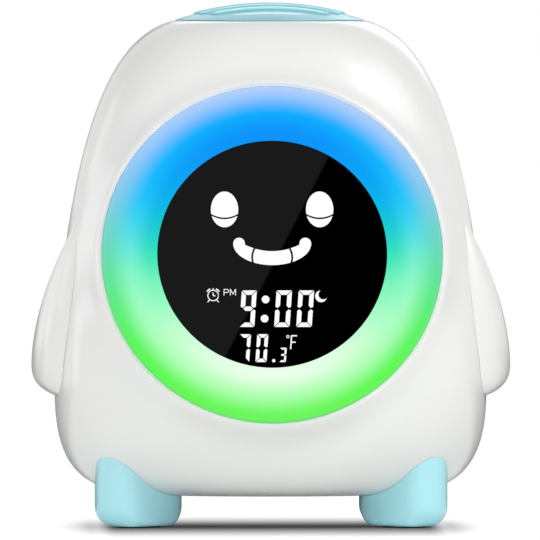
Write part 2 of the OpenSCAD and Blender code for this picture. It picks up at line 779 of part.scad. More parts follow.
module foot_post(x, y, r) {
    translate([x, y, rubber_out]) rotate_extrude($fn = 40) polygon(concat(
        [[0, foot_h], [0, 0]],
        [for (a = [0:15:90]) let (c = min(foot_edge_r, r - 0.5))
            [r - c + c * sin(a), c - c * cos(a)]],
        [[r, foot_h]]));
}
module foot() {
    color(blue)
    difference() {
        hull() {
            foot_post(foot_x + foot_half_w - toe_r, -toe_y, toe_r);
            foot_post(foot_x, -instep_y, foot_half_w);
            foot_post(foot_x, heel_y, foot_half_w - heel_in);
        }
        body_solid(skin_gap, -90, 1, -columns / 4, columns / 4 - 1);
        for (y = foot_screw_y) translate([foot_x, y, 0]) {
            cylinder(r = screw_clear_r, h = through);
            translate([0, 0, -1]) cylinder(r = screw_head_r + head_play, h = 1 + foot_screw_seat);
            translate([0, 0, -1]) cylinder(d = rubber_d + 2 * rubber_gap, h = 1 + rubber_t);
        }
    }
}
module left_foot() { mirror([1, 0, 0]) foot(); }
module right_foot() { foot(); }

module rubber_pads() {
    color(black) mirrored() for (y = foot_screw_y) translate([foot_x, y, 0])
        cylinder(d = rubber_d, h = rubber_t - touch);
}
module foot_screws() {
    color(steel) mirrored() for (y = foot_screw_y) translate([foot_x, y, foot_screw_seat - touch])
        screw(screw_shank_r, foot_screw_l, screw_head_r, screw_head_h);
}
module case_screws() {
    color(steel) case_screw_places() translate([0, case_seat_t + touch, 0]) rotate([90, 0, 0])
        screw(screw_shank_r, case_screw_l, screw_head_r, screw_head_h);
}

module light_ring() {
    color(milk) on_face() rotate_extrude($fn = 96) polygon(concat(
        [[leg_in_r, -leg_depth], [leg_in_r, lip_under_h], [lip_r, lip_under_h]],
        [for (i = [0:skin_steps]) let (r = lip_r + (crest_r - lip_r) * i / skin_steps) [r, skin_h(r)]],
        [for (i = [1:shoulder_steps]) let (a = 90 * i / shoulder_steps, r = crest_r + (ring_r - crest_r) * sin(a))
            [r, skin_h(r)]],
        [[ring_r, -ring_flange_depth - touch], [flange_r, -ring_flange_depth - touch],
         [flange_r, -flange_back], [ring_r - ring_wall, -flange_back]],
        [for (i = [shoulder_steps:-1:1]) let (a = 90 * i / shoulder_steps)
            [crest_r + (ring_r - ring_wall - crest_r) * sin(a),
             shoulder_h - ring_wall + (crest_h - shoulder_h) * cos(a)]],
        [for (i = [skin_steps:-1:0]) let (r = leg_out_r + (crest_r - leg_out_r) * i / skin_steps)
            [r, skin_h(r) - ring_wall]],
        [[leg_out_r, -leg_depth]]));
}

module light_tray() {
    color(white) on_face() {
        rotate_extrude() polygon([
            [tray_outer_r, -flange_back - touch], [tray_outer_r, -tray_depth - tray_floor_t],
            [tray_inner_r, -tray_depth - tray_floor_t], [tray_inner_r, display_back_h - touch - display_ledge_t],
            [tray_inner_r - display_ledge_w, display_back_h - touch - display_ledge_t],
            [tray_inner_r - display_ledge_w, display_back_h - touch], [tray_inner_r, display_back_h - touch],
            [tray_inner_r, lens_back_h - touch], [lens_r, lens_back_h - touch], [lens_r, -tray_depth],
            [tray_outer_r - tray_wall, -tray_depth], [tray_outer_r - tray_wall, -flange_back - touch]]);
        difference() {
            translate([0, 0, -tray_depth - tray_floor_t]) for (turn = [45:90:315]) rotate(turn) {
                translate([tray_outer_r - 1, -tray_ear_r, 0])
                    cube([tray_boss_pitch_r - tray_outer_r + 1, 2 * tray_ear_r, tray_floor_t - touch]);
                translate([tray_boss_pitch_r, 0, 0]) cylinder(r = tray_ear_r, h = tray_floor_t - touch);
            }
            tray_boss_places() translate([0, 0, -tray_depth - 2 * tray_floor_t])
                cylinder(r = screw_clear_r, h = 3 * tray_floor_t);
        }
    }
}
module tray_screws() {
    color(steel) on_face() tray_boss_places()
        translate([0, 0, -tray_depth - tray_floor_t - touch])
            screw(screw_shank_r, small_screw_l, screw_head_r, screw_head_h);
}
module ring_board() {
    color(green) on_face() translate([0, 0, -tray_depth + touch])
        ring_tube(lens_r + face_gap, tray_outer_r - tray_wall - face_gap, board_t);
}
module ring_leds() {
    led_w = 5;
    led_h = 1.6;
    color("ivory") on_face() for (i = [0:ring_led_count - 1]) rotate((i + 0.5) * 360 / ring_led_count)
        translate([(lens_r + tray_outer_r - tray_wall) / 2 - led_w / 2, -led_w / 2, -tray_depth + touch + board_t])
            difference() {
                cube([led_w, led_w, led_h]);
                translate([led_w / 2, led_w / 2, led_h - 0.5]) cylinder(r = led_w * 0.4, h = 1);
            }
}

// ---- display ----

module display_lens() {
    color(black) on_face() translate([0, 0, lens_back_h]) cylinder(r = lens_r, h = lens_t);
}

// Seven-bar digit: the outer bars are mitred at the corners and flush with the outline,
// and the middle bar is pointed at both ends
bar_gap = 0.12;
module digit(w, h, t) {
    middle = h / 2;
    half_t = t / 2;
    multmatrix([[1, slant, 0, 0], [0, 1, 0, 0], [0, 0, 1, 0], [0, 0, 0, 1]]) {
        for (y = [0, 1]) translate([0, y * h]) mirror([0, y]) polygon([
            [bar_gap, 0], [w - bar_gap, 0], [w - t - bar_gap, t], [t + bar_gap, t]]);
        for (x = [0, 1], y = [0, 1]) translate([x * w, y * h]) mirror([x, 0]) mirror([0, y]) polygon([
            [0, bar_gap], [t, t + bar_gap], [t, middle - half_t - bar_gap],
            [half_t, middle - bar_gap], [0, middle - bar_gap]]);
        polygon([[half_t + bar_gap, middle], [t + bar_gap, middle - half_t], [w - t - bar_gap, middle - half_t],
            [w - half_t - bar_gap, middle], [w - t - bar_gap, middle + half_t], [t + bar_gap, middle + half_t]]);
    }
}
time_digit_x = [-9.2, 0.5, 6.8];
time_digit_y = -20.9;
temp_digit_x = [-9, -5.1];
temp_digit_y = -31;
small_digit_at = [1.9, -31];
small_digit = [2, 4.1, 0.6];           // width, height and stroke of the tenths digit
colon_at = [[-1.9, -13], [-2.2, -18.5]];
colon_r = 1.1;
temp_stroke = 1;

module eyes_outline() {
    for (x = [-1, 1]) translate([x * eye_x, eye_y]) difference() {
        polygon([for (a = [0:10:350]) [eye_half_w * cos(a), eye_half_h * sin(a)]]);
        polygon(concat(
            [for (i = [-lid_steps:lid_steps]) lid_place(i / lid_steps)],
            [for (i = [lid_steps:-1:-lid_steps]) lid_place(i / lid_steps) + [0, lid_line]]));
    }
}
lid_steps = 6;
lid_drop = 0.33;                       // height of the lid's ends below the eye's middle, per half height
lid_sag = 0.22;                        // further fall of its middle, per half height
function lid_place(v) = [1.1 * v * eye_half_w, -eye_half_h * (lid_drop + lid_sag * (1 - v * v))];
module smile_outline() {
    gap = 0.25;
    parts = [[-1, -0.53], [-0.53, 0.53], [0.53, 1]];
    for (part = parts) translate([0, smile_y]) polygon(concat(
        smile_arc(part[0] * smile_half_angle, part[1] * smile_half_angle, smile_r + smile_t / 2, gap),
        smile_arc(part[1] * smile_half_angle, part[0] * smile_half_angle, smile_r - smile_t / 2, -gap)));
    for (side = [-1, 1]) translate([0, smile_y]) rotate(side * smile_half_angle)
        translate([0, -smile_r]) circle(r = smile_t / 2 - gap, $fn = 32);
}
function smile_arc(from, to, r, gap) = let (first = from + gap * 57.3 / r / 2, last = to - gap * 57.3 / r / 2)
    [for (i = [0:8]) let (a = first + (last - first) * i / 8) [r * sin(a), -r * cos(a)]];
module digits_outline() {
    for (x = time_digit_x) translate([x, time_digit_y]) digit(time_digit_w, time_digit_h, stroke);
    for (x = temp_digit_x) translate([x, temp_digit_y]) digit(temp_digit_w, temp_digit_h, temp_stroke);
    translate(small_digit_at) digit(small_digit[0], small_digit[1], small_digit[2]);
    for (p = colon_at) translate(p) circle(r = colon_r, $fn = 24);
}
module windows_outline() {
    eyes_outline();
    smile_outline();
    digits_outline();
}

module display_mask() {
    color(black) on_face() translate([0, 0, lens_back_h - touch - mask_t]) linear_extrude(mask_t) difference() {
        circle(r = window_r);
        windows_outline();
    }
}
module display_segments() {
    color("white") on_face() translate([0, 0, lens_back_h - touch - mask_t]) linear_extrude(mask_t - 0.1)
        windows_outline();
}
module display_board() {
    color(green) on_face() translate([0, 0, display_back_h]) cylinder(r = window_r, h = board_t);
}
module display_chip() {
    chip = [12, 8, 1.7];
    pin_w = 0.5;
    pin_pitch = 1.3;
    color(black) on_face() translate([-chip[0] / 2, -chip[1] / 4, display_back_h - chip[2]]) {
        cube([chip[0], chip[1], chip[2] - touch]);
        for (i = [0:7]) translate([chip[0] / 2 + (i - 3.5) * pin_pitch - pin_w / 2, -2 * pin_w, 0])
            cube([pin_w, chip[1] + 4 * pin_w, pin_w]);
    }
}

// ---- pad on the crown ----

module top_pad() {
    centre_z = pad_rim_z + pad_rise - dome_r;
    color(blue) on_pad_axis(0) {
        difference() {
            union() {
                // dome and skirt
                rotate_extrude($fn = 96) polygon(concat(
                    [[0, pad_skirt_z + 1], [0, pad_rim_z + pad_rise]],
                    [for (i = [1:12]) let (r = pad_r * i / 12) [r, centre_z + sqrt(dome_r * dome_r - r * r)]],
                    [[pad_r, pad_skirt_z], [pad_r - pad_wall, pad_skirt_z], [pad_r - pad_wall, pad_skirt_z + 1]]));
                grip_ribs(centre_z);
            }
            // hollow under the dome
            rotate_extrude($fn = 96) polygon(concat(
                [[0, pad_skirt_z - 1]],
                [for (i = [0:10]) let (r = (pad_r - pad_wall) * i / 10)
                    [r, centre_z - pad_wall + sqrt(dome_r * dome_r - r * r)]],
                [[pad_r - pad_wall, pad_skirt_z - 1]]));
        }
        translate([0, 0, pad_stem_z]) cylinder(r = pad_leg_r, h = pad_under_z(0) + 0.5 - pad_stem_z);
        hook_z = well_floor_z - pad_well_floor_t - touch - pad_hook_h;
        pad_leg_places() {
            translate([0, 0, hook_z]) cylinder(r = pad_leg_r, h = pad_under_z(pad_leg_pitch_r) + 0.7 - hook_z);
            translate([0, 0, hook_z]) cylinder(r = pad_hook_r, h = pad_hook_h);
        }
    }
}
// Height of the dome's underside at a distance from the pad's axis
function pad_under_z(r) = pad_rim_z + pad_rise - pad_wall - dome_r + sqrt(dome_r * dome_r - r * r);
pad_switch_top = pad_board_z + switch_h;
pad_stem_z = pad_switch_top - stem_in;

// Straight ribs across the dome, cut off at the field's circle
module grip_ribs(centre_z) {
    intersection() {
        translate([0, 0, centre_z]) rotate_extrude($fn = 96) polygon(concat(
            [[0, dome_r - pad_wall]],
            [for (i = [0:12]) let (r = grip_field_r * i / 12) [r, sqrt(pow(dome_r + grip_h, 2) - r * r)]],
            [[grip_field_r, dome_r - pad_wall - 2]]));
        for (i = [0:grip_count - 1]) translate([-30, (i - (grip_count - 1) / 2) * grip_pitch - grip_w / 2, 0])
            cube([60, grip_w, 200]);
    }
}

module pad_spring() {
    top = pad_under_z(spring_r) - touch;
    low = well_floor_z + spring_wire_r + touch;
    span = top - low - spring_wire_r;
    steps = 12;
    color(steel) on_pad_axis(0) tube(
        [for (i = [0:spring_turns * steps]) let (a = i * 360 / steps)
            [spring_r * cos(a), spring_r * sin(a), low + span * i / (spring_turns * steps)]],
        spring_wire_r, 6, [0, 0, 1]);
}
module pad_board() {
    color(green) on_pad_axis(pad_board_z - board_t - touch) difference() {
        translate([-pad_board_w / 2, -pad_board_d / 2 - 1, 0]) cube([pad_board_w, pad_board_d, board_t]);
        pad_post_places() translate([0, 0, -1]) cylinder(r = screw_clear_r, h = 4);
    }
}
// Push switch with a hole that takes the stem which presses it
module push_switch(h, hole_r, hole_depth) {
    difference() {
        translate([-switch_w / 2, -switch_w / 2, 0]) cube([switch_w, switch_w, h]);
        translate([0, 0, h - hole_depth]) cylinder(r = hole_r, h = hole_depth + 1);
    }
    for (x = [-1, 1], y = [-1, 1]) translate([x * (switch_w / 2 + 0.5) - 0.5, y * 2 - 0.4, 0]) cube([1, 0.8, 0.5]);
}
module pad_switch() {
    color(black) on_pad_axis(pad_board_z) push_switch(switch_h, switch_hole_r, stem_in + pad_travel + 0.3);
}
module pad_board_screws() {
    color(steel) on_pad_axis(pad_board_z - board_t - 2 * touch) pad_post_places()
        screw(screw_shank_r, small_screw_l, screw_head_r, small_head_h);
}

// ---- boards and controls at the back ----

module main_board() {
    color(green) translate([0, main_board_y - touch, 0]) difference() {
        translate([-board_w / 2, -board_t, board_low_z]) cube([board_w, board_t, board_top_z - board_low_z]);
        for (x = [-1, 1], z = [-1, 1]) bar_y(x * board_boss_x, -2 * board_t, panel_z + z * board_boss_z, screw_clear_r, 3 * board_t);
    }
}
board_front_y = main_board_y - touch - board_t;
module main_chip() {
    chip = [14, 2, 14];
    pin = 0.5;
    pin_pitch = 1.6;
    color(black) translate([-chip[0] / 2, board_front_y - chip[1] - touch, panel_z - chip[2] / 4]) {
        cube(chip);
        for (i = [0:7]) let (at = chip[0] / 2 + (i - 3.5) * pin_pitch - pin / 2) {
            translate([-2 * pin, chip[1] - pin, at]) cube([chip[0] + 4 * pin, pin, pin]);
            translate([at, chip[1] - pin, -2 * pin]) cube([pin, pin, chip[2] + 4 * pin]);
        }
    }
}
lead_socket = [8, 5, 4];
lead_socket_wall = 0.8;
lead_socket_x = [-20, -9, 9, 20];
lead_socket_up = 3;                    // height of the lead sockets above the board's lower edge
capacitor_r = 3.15;
capacitor_h = 7;
capacitor_x = 20;
capacitor_up = [3, 14];                // heights of the capacitors above the panel's middle
module board_parts() {
    color("ivory") for (x = lead_socket_x)
        translate([x - lead_socket[0] / 2, board_front_y - touch - lead_socket[1], board_low_z + lead_socket_up])
            difference() {
                cube(lead_socket);
                translate([lead_socket_wall, -1, lead_socket_wall]) cube([lead_socket[0] - 2 * lead_socket_wall,
                    lead_socket[1] - lead_socket_wall + 1, lead_socket[2] - 2 * lead_socket_wall]);
            }
    color(black) for (up = capacitor_up)
        bar_y(capacitor_x, board_front_y - touch - capacitor_h, panel_z + up, capacitor_r, capacitor_h);
}
module board_screws() {
    color(steel) for (x = [-1, 1], z = [-1, 1])
        translate([x * board_boss_x, board_front_y - touch, panel_z + z * board_boss_z]) rotate([-90, 0, 0])
            screw(screw_shank_r, board_screw_l, screw_head_r, small_head_h);
}
module key_switches() {
    color(black) for (column = key_columns, row = [0, 1])
        translate([key_x(column), main_board_y, key_z(row)]) rotate([-90, 0, 0])
            push_switch(key_switch_h, key_stem_r + 0.1, stem_in + key_travel + 0.2);
}
// A round key: cap, flange behind the panel and the stem that presses its switch
module key(column, row) {
    color(blue) translate([key_x(column), 0, key_z(row)]) rotate([-90, 0, 0]) rotate_extrude() polygon([
        [0, key_switch_y - stem_in], [key_stem_r, key_switch_y - stem_in],
        [key_stem_r, panel_back_y - touch - key_flange_t], [key_flange_r, panel_back_y - touch - key_flange_t],
        [key_flange_r, panel_back_y - touch], [key_r, panel_back_y - touch],
        [key_r, panel_y + key_out - 0.5], [key_r - 0.15, panel_y + key_out - 0.15],
        [key_r - 0.5, panel_y + key_out], [0, panel_y + key_out + 0.2]]);
}
module mode_key() { key(-1, 1); }
module up_key() { key(0, 1); }
module alarm_key() { key(1, 1); }
module light_key() { key(-1, 0); }
module down_key() { key(0, 0); }
module sound_key() { key(1, 0); }

slider_switch_h = 5.4;
slider_switch_w = 12;
slider_switch_d = 4.4;
slider_slot_w = slider_w + slider_travel + 0.6;
slider_slot_d = slider_hgt + 0.4;
slider_slot_h = 2;
slider_plate_t = 0.9;
slider_plate_over = 1.2;               // how far the plate behind the panel covers the slot's ends
slider_plate_h = 4.6;
slider_out = 0.9;                      // how far the knob stands out of the panel
module slider_switch() {
    color(steel) translate([-socket_x + slider_travel / 2, main_board_y, socket_z]) rotate([-90, 0, 0]) difference() {
        translate([-slider_switch_w / 2, -slider_switch_d / 2, 0])
            cube([slider_switch_w, slider_switch_d, slider_switch_h]);
        translate([-slider_slot_w / 2, -slider_slot_d / 2, slider_switch_h - slider_slot_h])
            cube([slider_slot_w, slider_slot_d, slider_slot_h + 1]);
    }
}
module alarm_slider() {
    foot_y = main_board_y + slider_switch_h - slider_slot_h + 0.2;
    plate_y = panel_back_y - touch - slider_plate_t;
    color(black) translate([-socket_x, 0, socket_z]) {
        translate([-slider_w / 2, foot_y, -slider_hgt / 2]) cube([slider_w, panel_y + slider_out - foot_y, slider_hgt]);
        translate([-slider_w / 2 - slider_plate_over, plate_y, -slider_plate_h / 2])
            cube([slider_w + 2 * slider_plate_over, slider_plate_t, slider_plate_h]);
    }
}
module power_socket() {
    color(steel) translate([socket_x, main_board_y, socket_z]) {
        difference() {
            slot_xz(socket_w, socket_hgt, panel_y - socket_in - main_board_y);
            translate([0, socket_floor_t, 0])
                slot_xz(socket_w - 2 * socket_wall, socket_hgt - 2 * socket_wall, through);
        }
        translate([-tongue_w / 2, 1, -tongue_t / 2])
            cube([tongue_w, panel_y - main_board_y - 1 - tongue_in, tongue_t]);
    }
}
module temperature_sensor() {
    color("tan") {
        translate([vent_x - 3, main_board_y + 3, socket_z]) sphere(r = 1.3, $fn = 24);
        for (z = [-0.6, 0.6]) tube(lead_path([board_w / 2 - 4, main_board_y + touch + 0.4, socket_z + z],
            [0, 2.6, 0], [vent_x - 3.6, main_board_y + 3, socket_z + z], [-2, 0, 0], 5), 0.3, 8, [0, 0, 1]);
    }
}

// ---- battery bay ----

module backup_cells() {
    nub = 1;
    nub_d = 3.6;
    color([0.2, 0.5, 0.35]) for (i = [0:cell_count - 1]) {
        turn = i % 2 == 0 ? 0 : 180;
        translate([0, cell_y, cell_z(i)]) rotate([0, 0, turn]) rotate([0, 90, 0])
            translate([0, 0, (spring_room - 2 * cell_gap) / 2 - cell_l / 2 - 0.4]) {
                cylinder(d = cell_d, h = cell_l - nub);
                cylinder(d = nub_d, h = cell_l);
            }
    }
}
plate_t = 0.4;
plate_w = 8;
module cell_plates() {
    color(steel) for (i = [0:cell_count - 1], side = [-1, 1])
        translate([side * (bay_w / 2 - plate_t / 2 - touch) - plate_t / 2, cell_y - plate_w / 2, cell_z(i) - plate_w / 2])
            cube([plate_t, plate_w, plate_w]);
}
module cell_springs() {
    coil_r = 3;
    turns = 2.5;
    steps = 12;
    color(steel) for (i = [0:cell_count - 1]) {
        side = i % 2 == 0 ? -1 : 1;
        far = bay_w / 2 - plate_t - 2 * touch - 0.3;
        near = far - (bay_w - cell_l - 2 * plate_t - 4 * touch - 0.6) + 0.55;
        translate([0, cell_y, cell_z(i)]) mirror([side < 0 ? 1 : 0, 0, 0]) tube(
            [for (k = [0:turns * steps]) let (a = k * 360 / steps, r = coil_r - 0.5 * k / (turns * steps))
                [far + (near - far) * k / (turns * steps), r * cos(a), r * sin(a)]],
            0.3, 6, [1, 0, 0]);
    }
}

// ---- speaker ----

module speaker_basket() {
    color(black) translate([0, speaker_rim_y, speaker_z]) rotate([90, 0, 0]) rotate_extrude() polygon([
        [speaker_r, touch], [speaker_r, touch + speaker_rim_t], [speaker_r - 2, touch + speaker_rim_t],
        [magnet_r + 1, speaker_depth], [4.2, speaker_depth], [4.2, speaker_depth - 0.8],
        [magnet_r + 0.4, speaker_depth - 0.8], [speaker_r - 2.8, touch + speaker_rim_t - 0.6],
        [speaker_r - 2.8, touch]]);
}
module speaker_cone() {
    edge_r = speaker_r - 2.9;
    color([0.15, 0.15, 0.16]) translate([0, speaker_rim_y, speaker_z]) rotate([90, 0, 0]) rotate_extrude() polygon([
        [0, 2.2], [3, 2.6], [5, 3.6], [edge_r - 3, 0.9], [edge_r - 1.5, 0.2], [edge_r, 0.3], [edge_r, 0.8],
        [edge_r - 1.5, 0.7], [edge_r - 3, 1.4], [5, 4.1], [4.1, 4.1], [4.1, speaker_depth - 0.4],
        [3.5, speaker_depth - 0.4], [3.5, 3.9], [2.8, 3.1], [0, 2.7]]);
}
module speaker_magnet() {
    color(steel) translate([0, speaker_rim_y - speaker_depth - touch, speaker_z]) rotate([90, 0, 0])
        cylinder(r = magnet_r, h = magnet_h);
}
module speaker_clamp() {
    color(white) translate([0, speaker_rim_y - 2 * touch - speaker_rim_t, speaker_z]) rotate([90, 0, 0])
        ring_tube(speaker_r - 1.9, speaker_r + speaker_gap - touch, clamp_t);
}

// ---- leads ----

lead_r = 0.55;
lead_pitch = 1.4;
lead_sides = 6;
// Where a lead ends, before its socket on the main board
function lead_end(x) = [x, board_front_y - lead_socket[1] - 1, board_low_z + lead_socket_up + lead_socket[2] / 2];
ring_lead_drop = 35;                   // start of the ring's leads below the middle of the face
ring_lead_gap = 9.2;                   // and behind the tray's floor
ring_lead_bend = 12;
module ring_leads() {
    color("red") for (i = [0, 1]) tube(lead_path(
        [lead_socket_x[3] + i * lead_pitch, body_y - face_out + tray_depth + ring_lead_gap, face_z - ring_lead_drop],
        [0, ring_lead_bend, -ring_lead_bend / 4], lead_end(lead_socket_x[3] + (i + 0.7) * lead_pitch),
        [0, -ring_lead_bend, 0], 10), lead_r, lead_sides, [1, 0, 0]);
}
cell_lead_x = -18;
cell_lead_up = 12;                     // start of the cells' leads above the middle of the bay
cell_lead_bend = 5;
module cell_leads() {
    color("black") for (i = [0, 1]) tube(lead_path(
        [cell_lead_x - i * lead_pitch, bay_floor_y - bay_wall - lead_r - 0.15, bay_z + cell_lead_up],
        [0, -cell_lead_bend, 0], lead_end(lead_socket_x[0] - i * lead_pitch),
        [0, -cell_lead_bend, 0], 8), lead_r, lead_sides, [1, 0, 0]);
}
speaker_lead_x = -4;
speaker_lead_drop = 4;                 // start of the speaker's leads below its middle
speaker_lead_bend = 8;
module speaker_leads() {
    color("red") for (i = [0, 1]) tube(lead_path(
        [speaker_lead_x - i * lead_pitch, speaker_rim_y - speaker_depth - magnet_h - lead_r - 0.25,
         speaker_z - speaker_lead_drop],
        [0, -speaker_lead_bend, -speaker_lead_bend], lead_end(lead_socket_x[1] - i * lead_pitch),
        [0, -1.75 * speaker_lead_bend, 0.75 * speaker_lead_bend], 12), lead_r, lead_sides, [1, 0, 0]);
}

front_shell();
rear_shell();
left_wing();
right_wing();
left_foot();
right_foot();
rubber_pads();
foot_screws();
case_screws();
light_ring();
light_tray();
tray_screws();
ring_board();
ring_leds();
display_lens();
display_mask();
display_segments();
display_board();
display_chip();
top_pad();
pad_spring();
pad_board();
pad_switch();
pad_board_screws();
main_board();
main_chip();
board_parts();
board_screws();
key_switches();
mode_key();
up_key();
alarm_key();
light_key();
down_key();
sound_key();
alarm_slider();
slider_switch();
power_socket();
temperature_sensor();
backup_cells();
cell_plates();
cell_springs();
battery_door();
door_screw();
speaker_basket();
speaker_cone();
speaker_magnet();
speaker_clamp();
ring_leads();
cell_leads();
speaker_leads();
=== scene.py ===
import json
import math
import bpy
import numpy as np
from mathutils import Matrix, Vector


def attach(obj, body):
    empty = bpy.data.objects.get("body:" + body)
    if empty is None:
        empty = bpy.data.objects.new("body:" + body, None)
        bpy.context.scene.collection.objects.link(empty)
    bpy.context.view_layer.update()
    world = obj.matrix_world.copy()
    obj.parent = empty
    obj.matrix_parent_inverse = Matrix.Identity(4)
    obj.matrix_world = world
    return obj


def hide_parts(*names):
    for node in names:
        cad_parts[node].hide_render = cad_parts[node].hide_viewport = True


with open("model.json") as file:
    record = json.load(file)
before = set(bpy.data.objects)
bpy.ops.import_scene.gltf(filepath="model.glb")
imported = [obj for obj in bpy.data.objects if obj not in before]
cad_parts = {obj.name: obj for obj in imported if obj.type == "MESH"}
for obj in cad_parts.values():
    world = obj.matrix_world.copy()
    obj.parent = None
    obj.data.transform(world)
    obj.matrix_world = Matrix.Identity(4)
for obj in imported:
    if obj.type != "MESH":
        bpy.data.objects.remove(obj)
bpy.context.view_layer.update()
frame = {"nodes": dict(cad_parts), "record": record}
nodes = frame["nodes"]
scene = bpy.context.scene
mm = 0.001
print("frame loaded with", len(nodes), "nodes")

# Lengths are in millimetres where no other unit is named; makePiece turns points into metres.


class Wire:
    # a shader value that takes part in sums
    def __init__(self, paint, socket):
        self.paint, self.socket = paint, socket

    def __add__(self, other): return self.paint.math("ADD", self, other)
    def __radd__(self, other): return self.paint.math("ADD", other, self)
    def __sub__(self, other): return self.paint.math("SUBTRACT", self, other)
    def __mul__(self, other): return self.paint.math("MULTIPLY", self, other)
    def __truediv__(self, other): return self.paint.math("DIVIDE", self, other)
    def __pow__(self, other): return self.paint.math("POWER", self, other)

    def smooth(self, low, high, start=0.0, end=1.0):   # soft step from low to high
        values = {"Value": self, "From Min": low, "From Max": high, "To Min": start, "To Max": end}
        return self.paint.wire("ShaderNodeMapRange", {"interpolation_type": "SMOOTHSTEP"}, values, "Result")


class Paint:
    # one material and its node tree
    def __init__(self, name, target=None):
        self.material = target or bpy.data.materials.new(name)
        self.material.use_nodes = True
        self.tree = self.material.node_tree
        self.tree.nodes.clear()

    def node(self, kind, settings=None, values=None):
        made = self.tree.nodes.new(kind)
        for key, value in (settings or {}).items():
            setattr(made, key, value)
        for key, value in (values or {}).items():
            if isinstance(value, Wire):
                self.tree.links.new(value.socket, made.inputs[key])
            else:
                made.inputs[key].default_value = value
        return made

    def wire(self, kind, settings=None, values=None, output=0):
        return Wire(self, self.node(kind, settings, values).outputs[output])

    def math(self, kind, first, second):
        return self.wire("ShaderNodeMath", {"operation": kind}, {0: first, 1: second})

    def ramp(self, factor, stops):   # stops are (place, screen colour)
        made = self.node("ShaderNodeValToRGB", None, {"Fac": factor})
        made.color_ramp.interpolation = "B_SPLINE"
        marks = made.color_ramp.elements
        while len(marks) < len(stops):
            marks.new(0.5)
        for mark, (place, colour) in zip(marks, stops):
            mark.position, mark.color = place, tint(colour)
        return Wire(self, made.outputs["Color"])

    def blend(self, factor, first, second):   # colour between two colours
        return self.wire("ShaderNodeMix", {"data_type": "RGBA"}, {0: factor, 6: first, 7: second}, 2)

    def place(self, middle=(0, 0, 0)):   # object coordinates, centred on a piece's own middle
        coords = self.wire("ShaderNodeTexCoord", None, None, "Object")
        values = {"Vector": coords, "Location": middle}
        return self.wire("ShaderNodeMapping", {"vector_type": "TEXTURE"}, values)

    def axes(self, vector):
        split = self.node("ShaderNodeSeparateXYZ", None, {0: vector})
        return [Wire(self, split.outputs[i]) for i in range(3)]

    def noise(self, scale, detail=3.0):
        values = {"Vector": self.place(), "Scale": scale, "Detail": detail}
        return self.wire("ShaderNodeTexNoise", None, values, "Fac")

    def bump(self, height, strength, distance):
        values = {"Height": height, "Strength": strength, "Distance": distance}
        return self.wire("ShaderNodeBump", None, values, "Normal")

    def surface(self, values):
        self.finish(self.wire("ShaderNodeBsdfPrincipled", None, values))
        return self

    def finish(self, shader):
        self.node("ShaderNodeOutputMaterial", None, {"Surface": shader})


def tint(screen, share=1.0):   # 0-255 screen colour to a share of the linear colour that shaders take
    screen = np.array(screen) / 255
    colour = np.where(screen <= 0.04045, screen / 12.92, ((screen + 0.055) / 1.055) ** 2.4)
    return (*np.minimum(colour * share, 1).tolist(), 1.0)


def addObject(name, data):
    made = bpy.data.objects.new(name, data)
    scene.collection.objects.link(made)
    return made


def makePiece(name, points, faces):
    mesh = bpy.data.meshes.new(name)
    mesh.from_pydata((np.asarray(points, float).reshape(-1, 3) * mm).tolist(), [], faces)
    mesh.update()
    return addObject(name, mesh)


# Skin over a grid of points [row, column]: each row closes on itself, neighbouring rows are
# joined by quads, and the first and last rows either meet (wrap) or get a flat cap each.
def skin(name, grid, wrap=False):
    rows, columns = grid.shape[:2]
    here = np.arange(columns)
    following = (here + 1) % columns
    top = rows if wrap else rows - 1
    row = np.arange(top)[:, None] * columns
    above = ((np.arange(top) + 1) % rows)[:, None] * columns
    corners = [row + here, row + following, above + following, above + here]
    quads = np.stack(corners, -1).reshape(-1, 4).tolist()
    caps = [] if wrap else [here[::-1].tolist(), (here + (rows - 1) * columns).tolist()]
    return makePiece(name, grid, quads + caps)


def turns(count):   # even turns, half a step off the axes
    return (np.arange(count) + 0.5) * 2 * math.pi / count


def polar(radius, turn, x=0.0, y=0.0):
    return np.stack([x + radius * np.cos(turn), y + radius * np.sin(turn)], -1)


def circle(radius, count=48, x=0.0, y=0.0):
    return polar(radius, turns(count), x, y)


# Rectangle with round corners: the polar angle picks the corner that a quarter circle is set on.
def roundedBox(width, height, radius, count=48):
    turn = turns(count)
    return polar(radius, turn, np.sign(np.cos(turn)) * (width / 2 - radius),
                 np.sign(np.sin(turn)) * (height / 2 - radius))


# Reach of the superellipse |x|^n + |y|^n = 1 along each turn.
def superReach(turn, power):
    return (np.abs(np.cos(turn)) ** power + np.abs(np.sin(turn)) ** power) ** (-1 / power)


# Placements turn local x, y and height into the clock's frame.
def upright(x=0.0, y=0.0):
    return lambda across, along, height: np.stack([across + x, along + y, height], -1)


def backward(x, z):   # height runs along +Y, local y is up
    return lambda across, along, height: np.stack([across + x, height, along + z], -1)[:, ::-1]


# Solid of revolution: a profile of (radius, height) carried round the axis of a placement.
def revolve(name, profile, place, count, wrap=False):
    profile = np.asarray(profile, float)
    turn = turns(count)[None, :]
    radius, height = profile[:, :1], profile[:, 1:]
    return skin(name, place(radius * np.cos(turn), radius * np.sin(turn), height + 0 * turn), wrap)


# Straight solid: an outline (x, y) carried from one height to another of a placement.
def prism(name, outline, low, high, place):
    x, y = np.asarray(outline, float).T[:, None]
    height = np.array([[low], [high]])
    return skin(name, place(x + 0 * height, y + 0 * height, height + 0 * x))


def box(name, low, high):
    (left, near, bottom), (right, far, top) = low, high
    return prism(name, [[left, near], [right, near], [right, far], [left, far]], bottom, top, upright())


def bore(name, radius, low, high, x, z, count=48):   # cylinder along +Y
    return prism(name, circle(radius, count), low, high, backward(x, z))


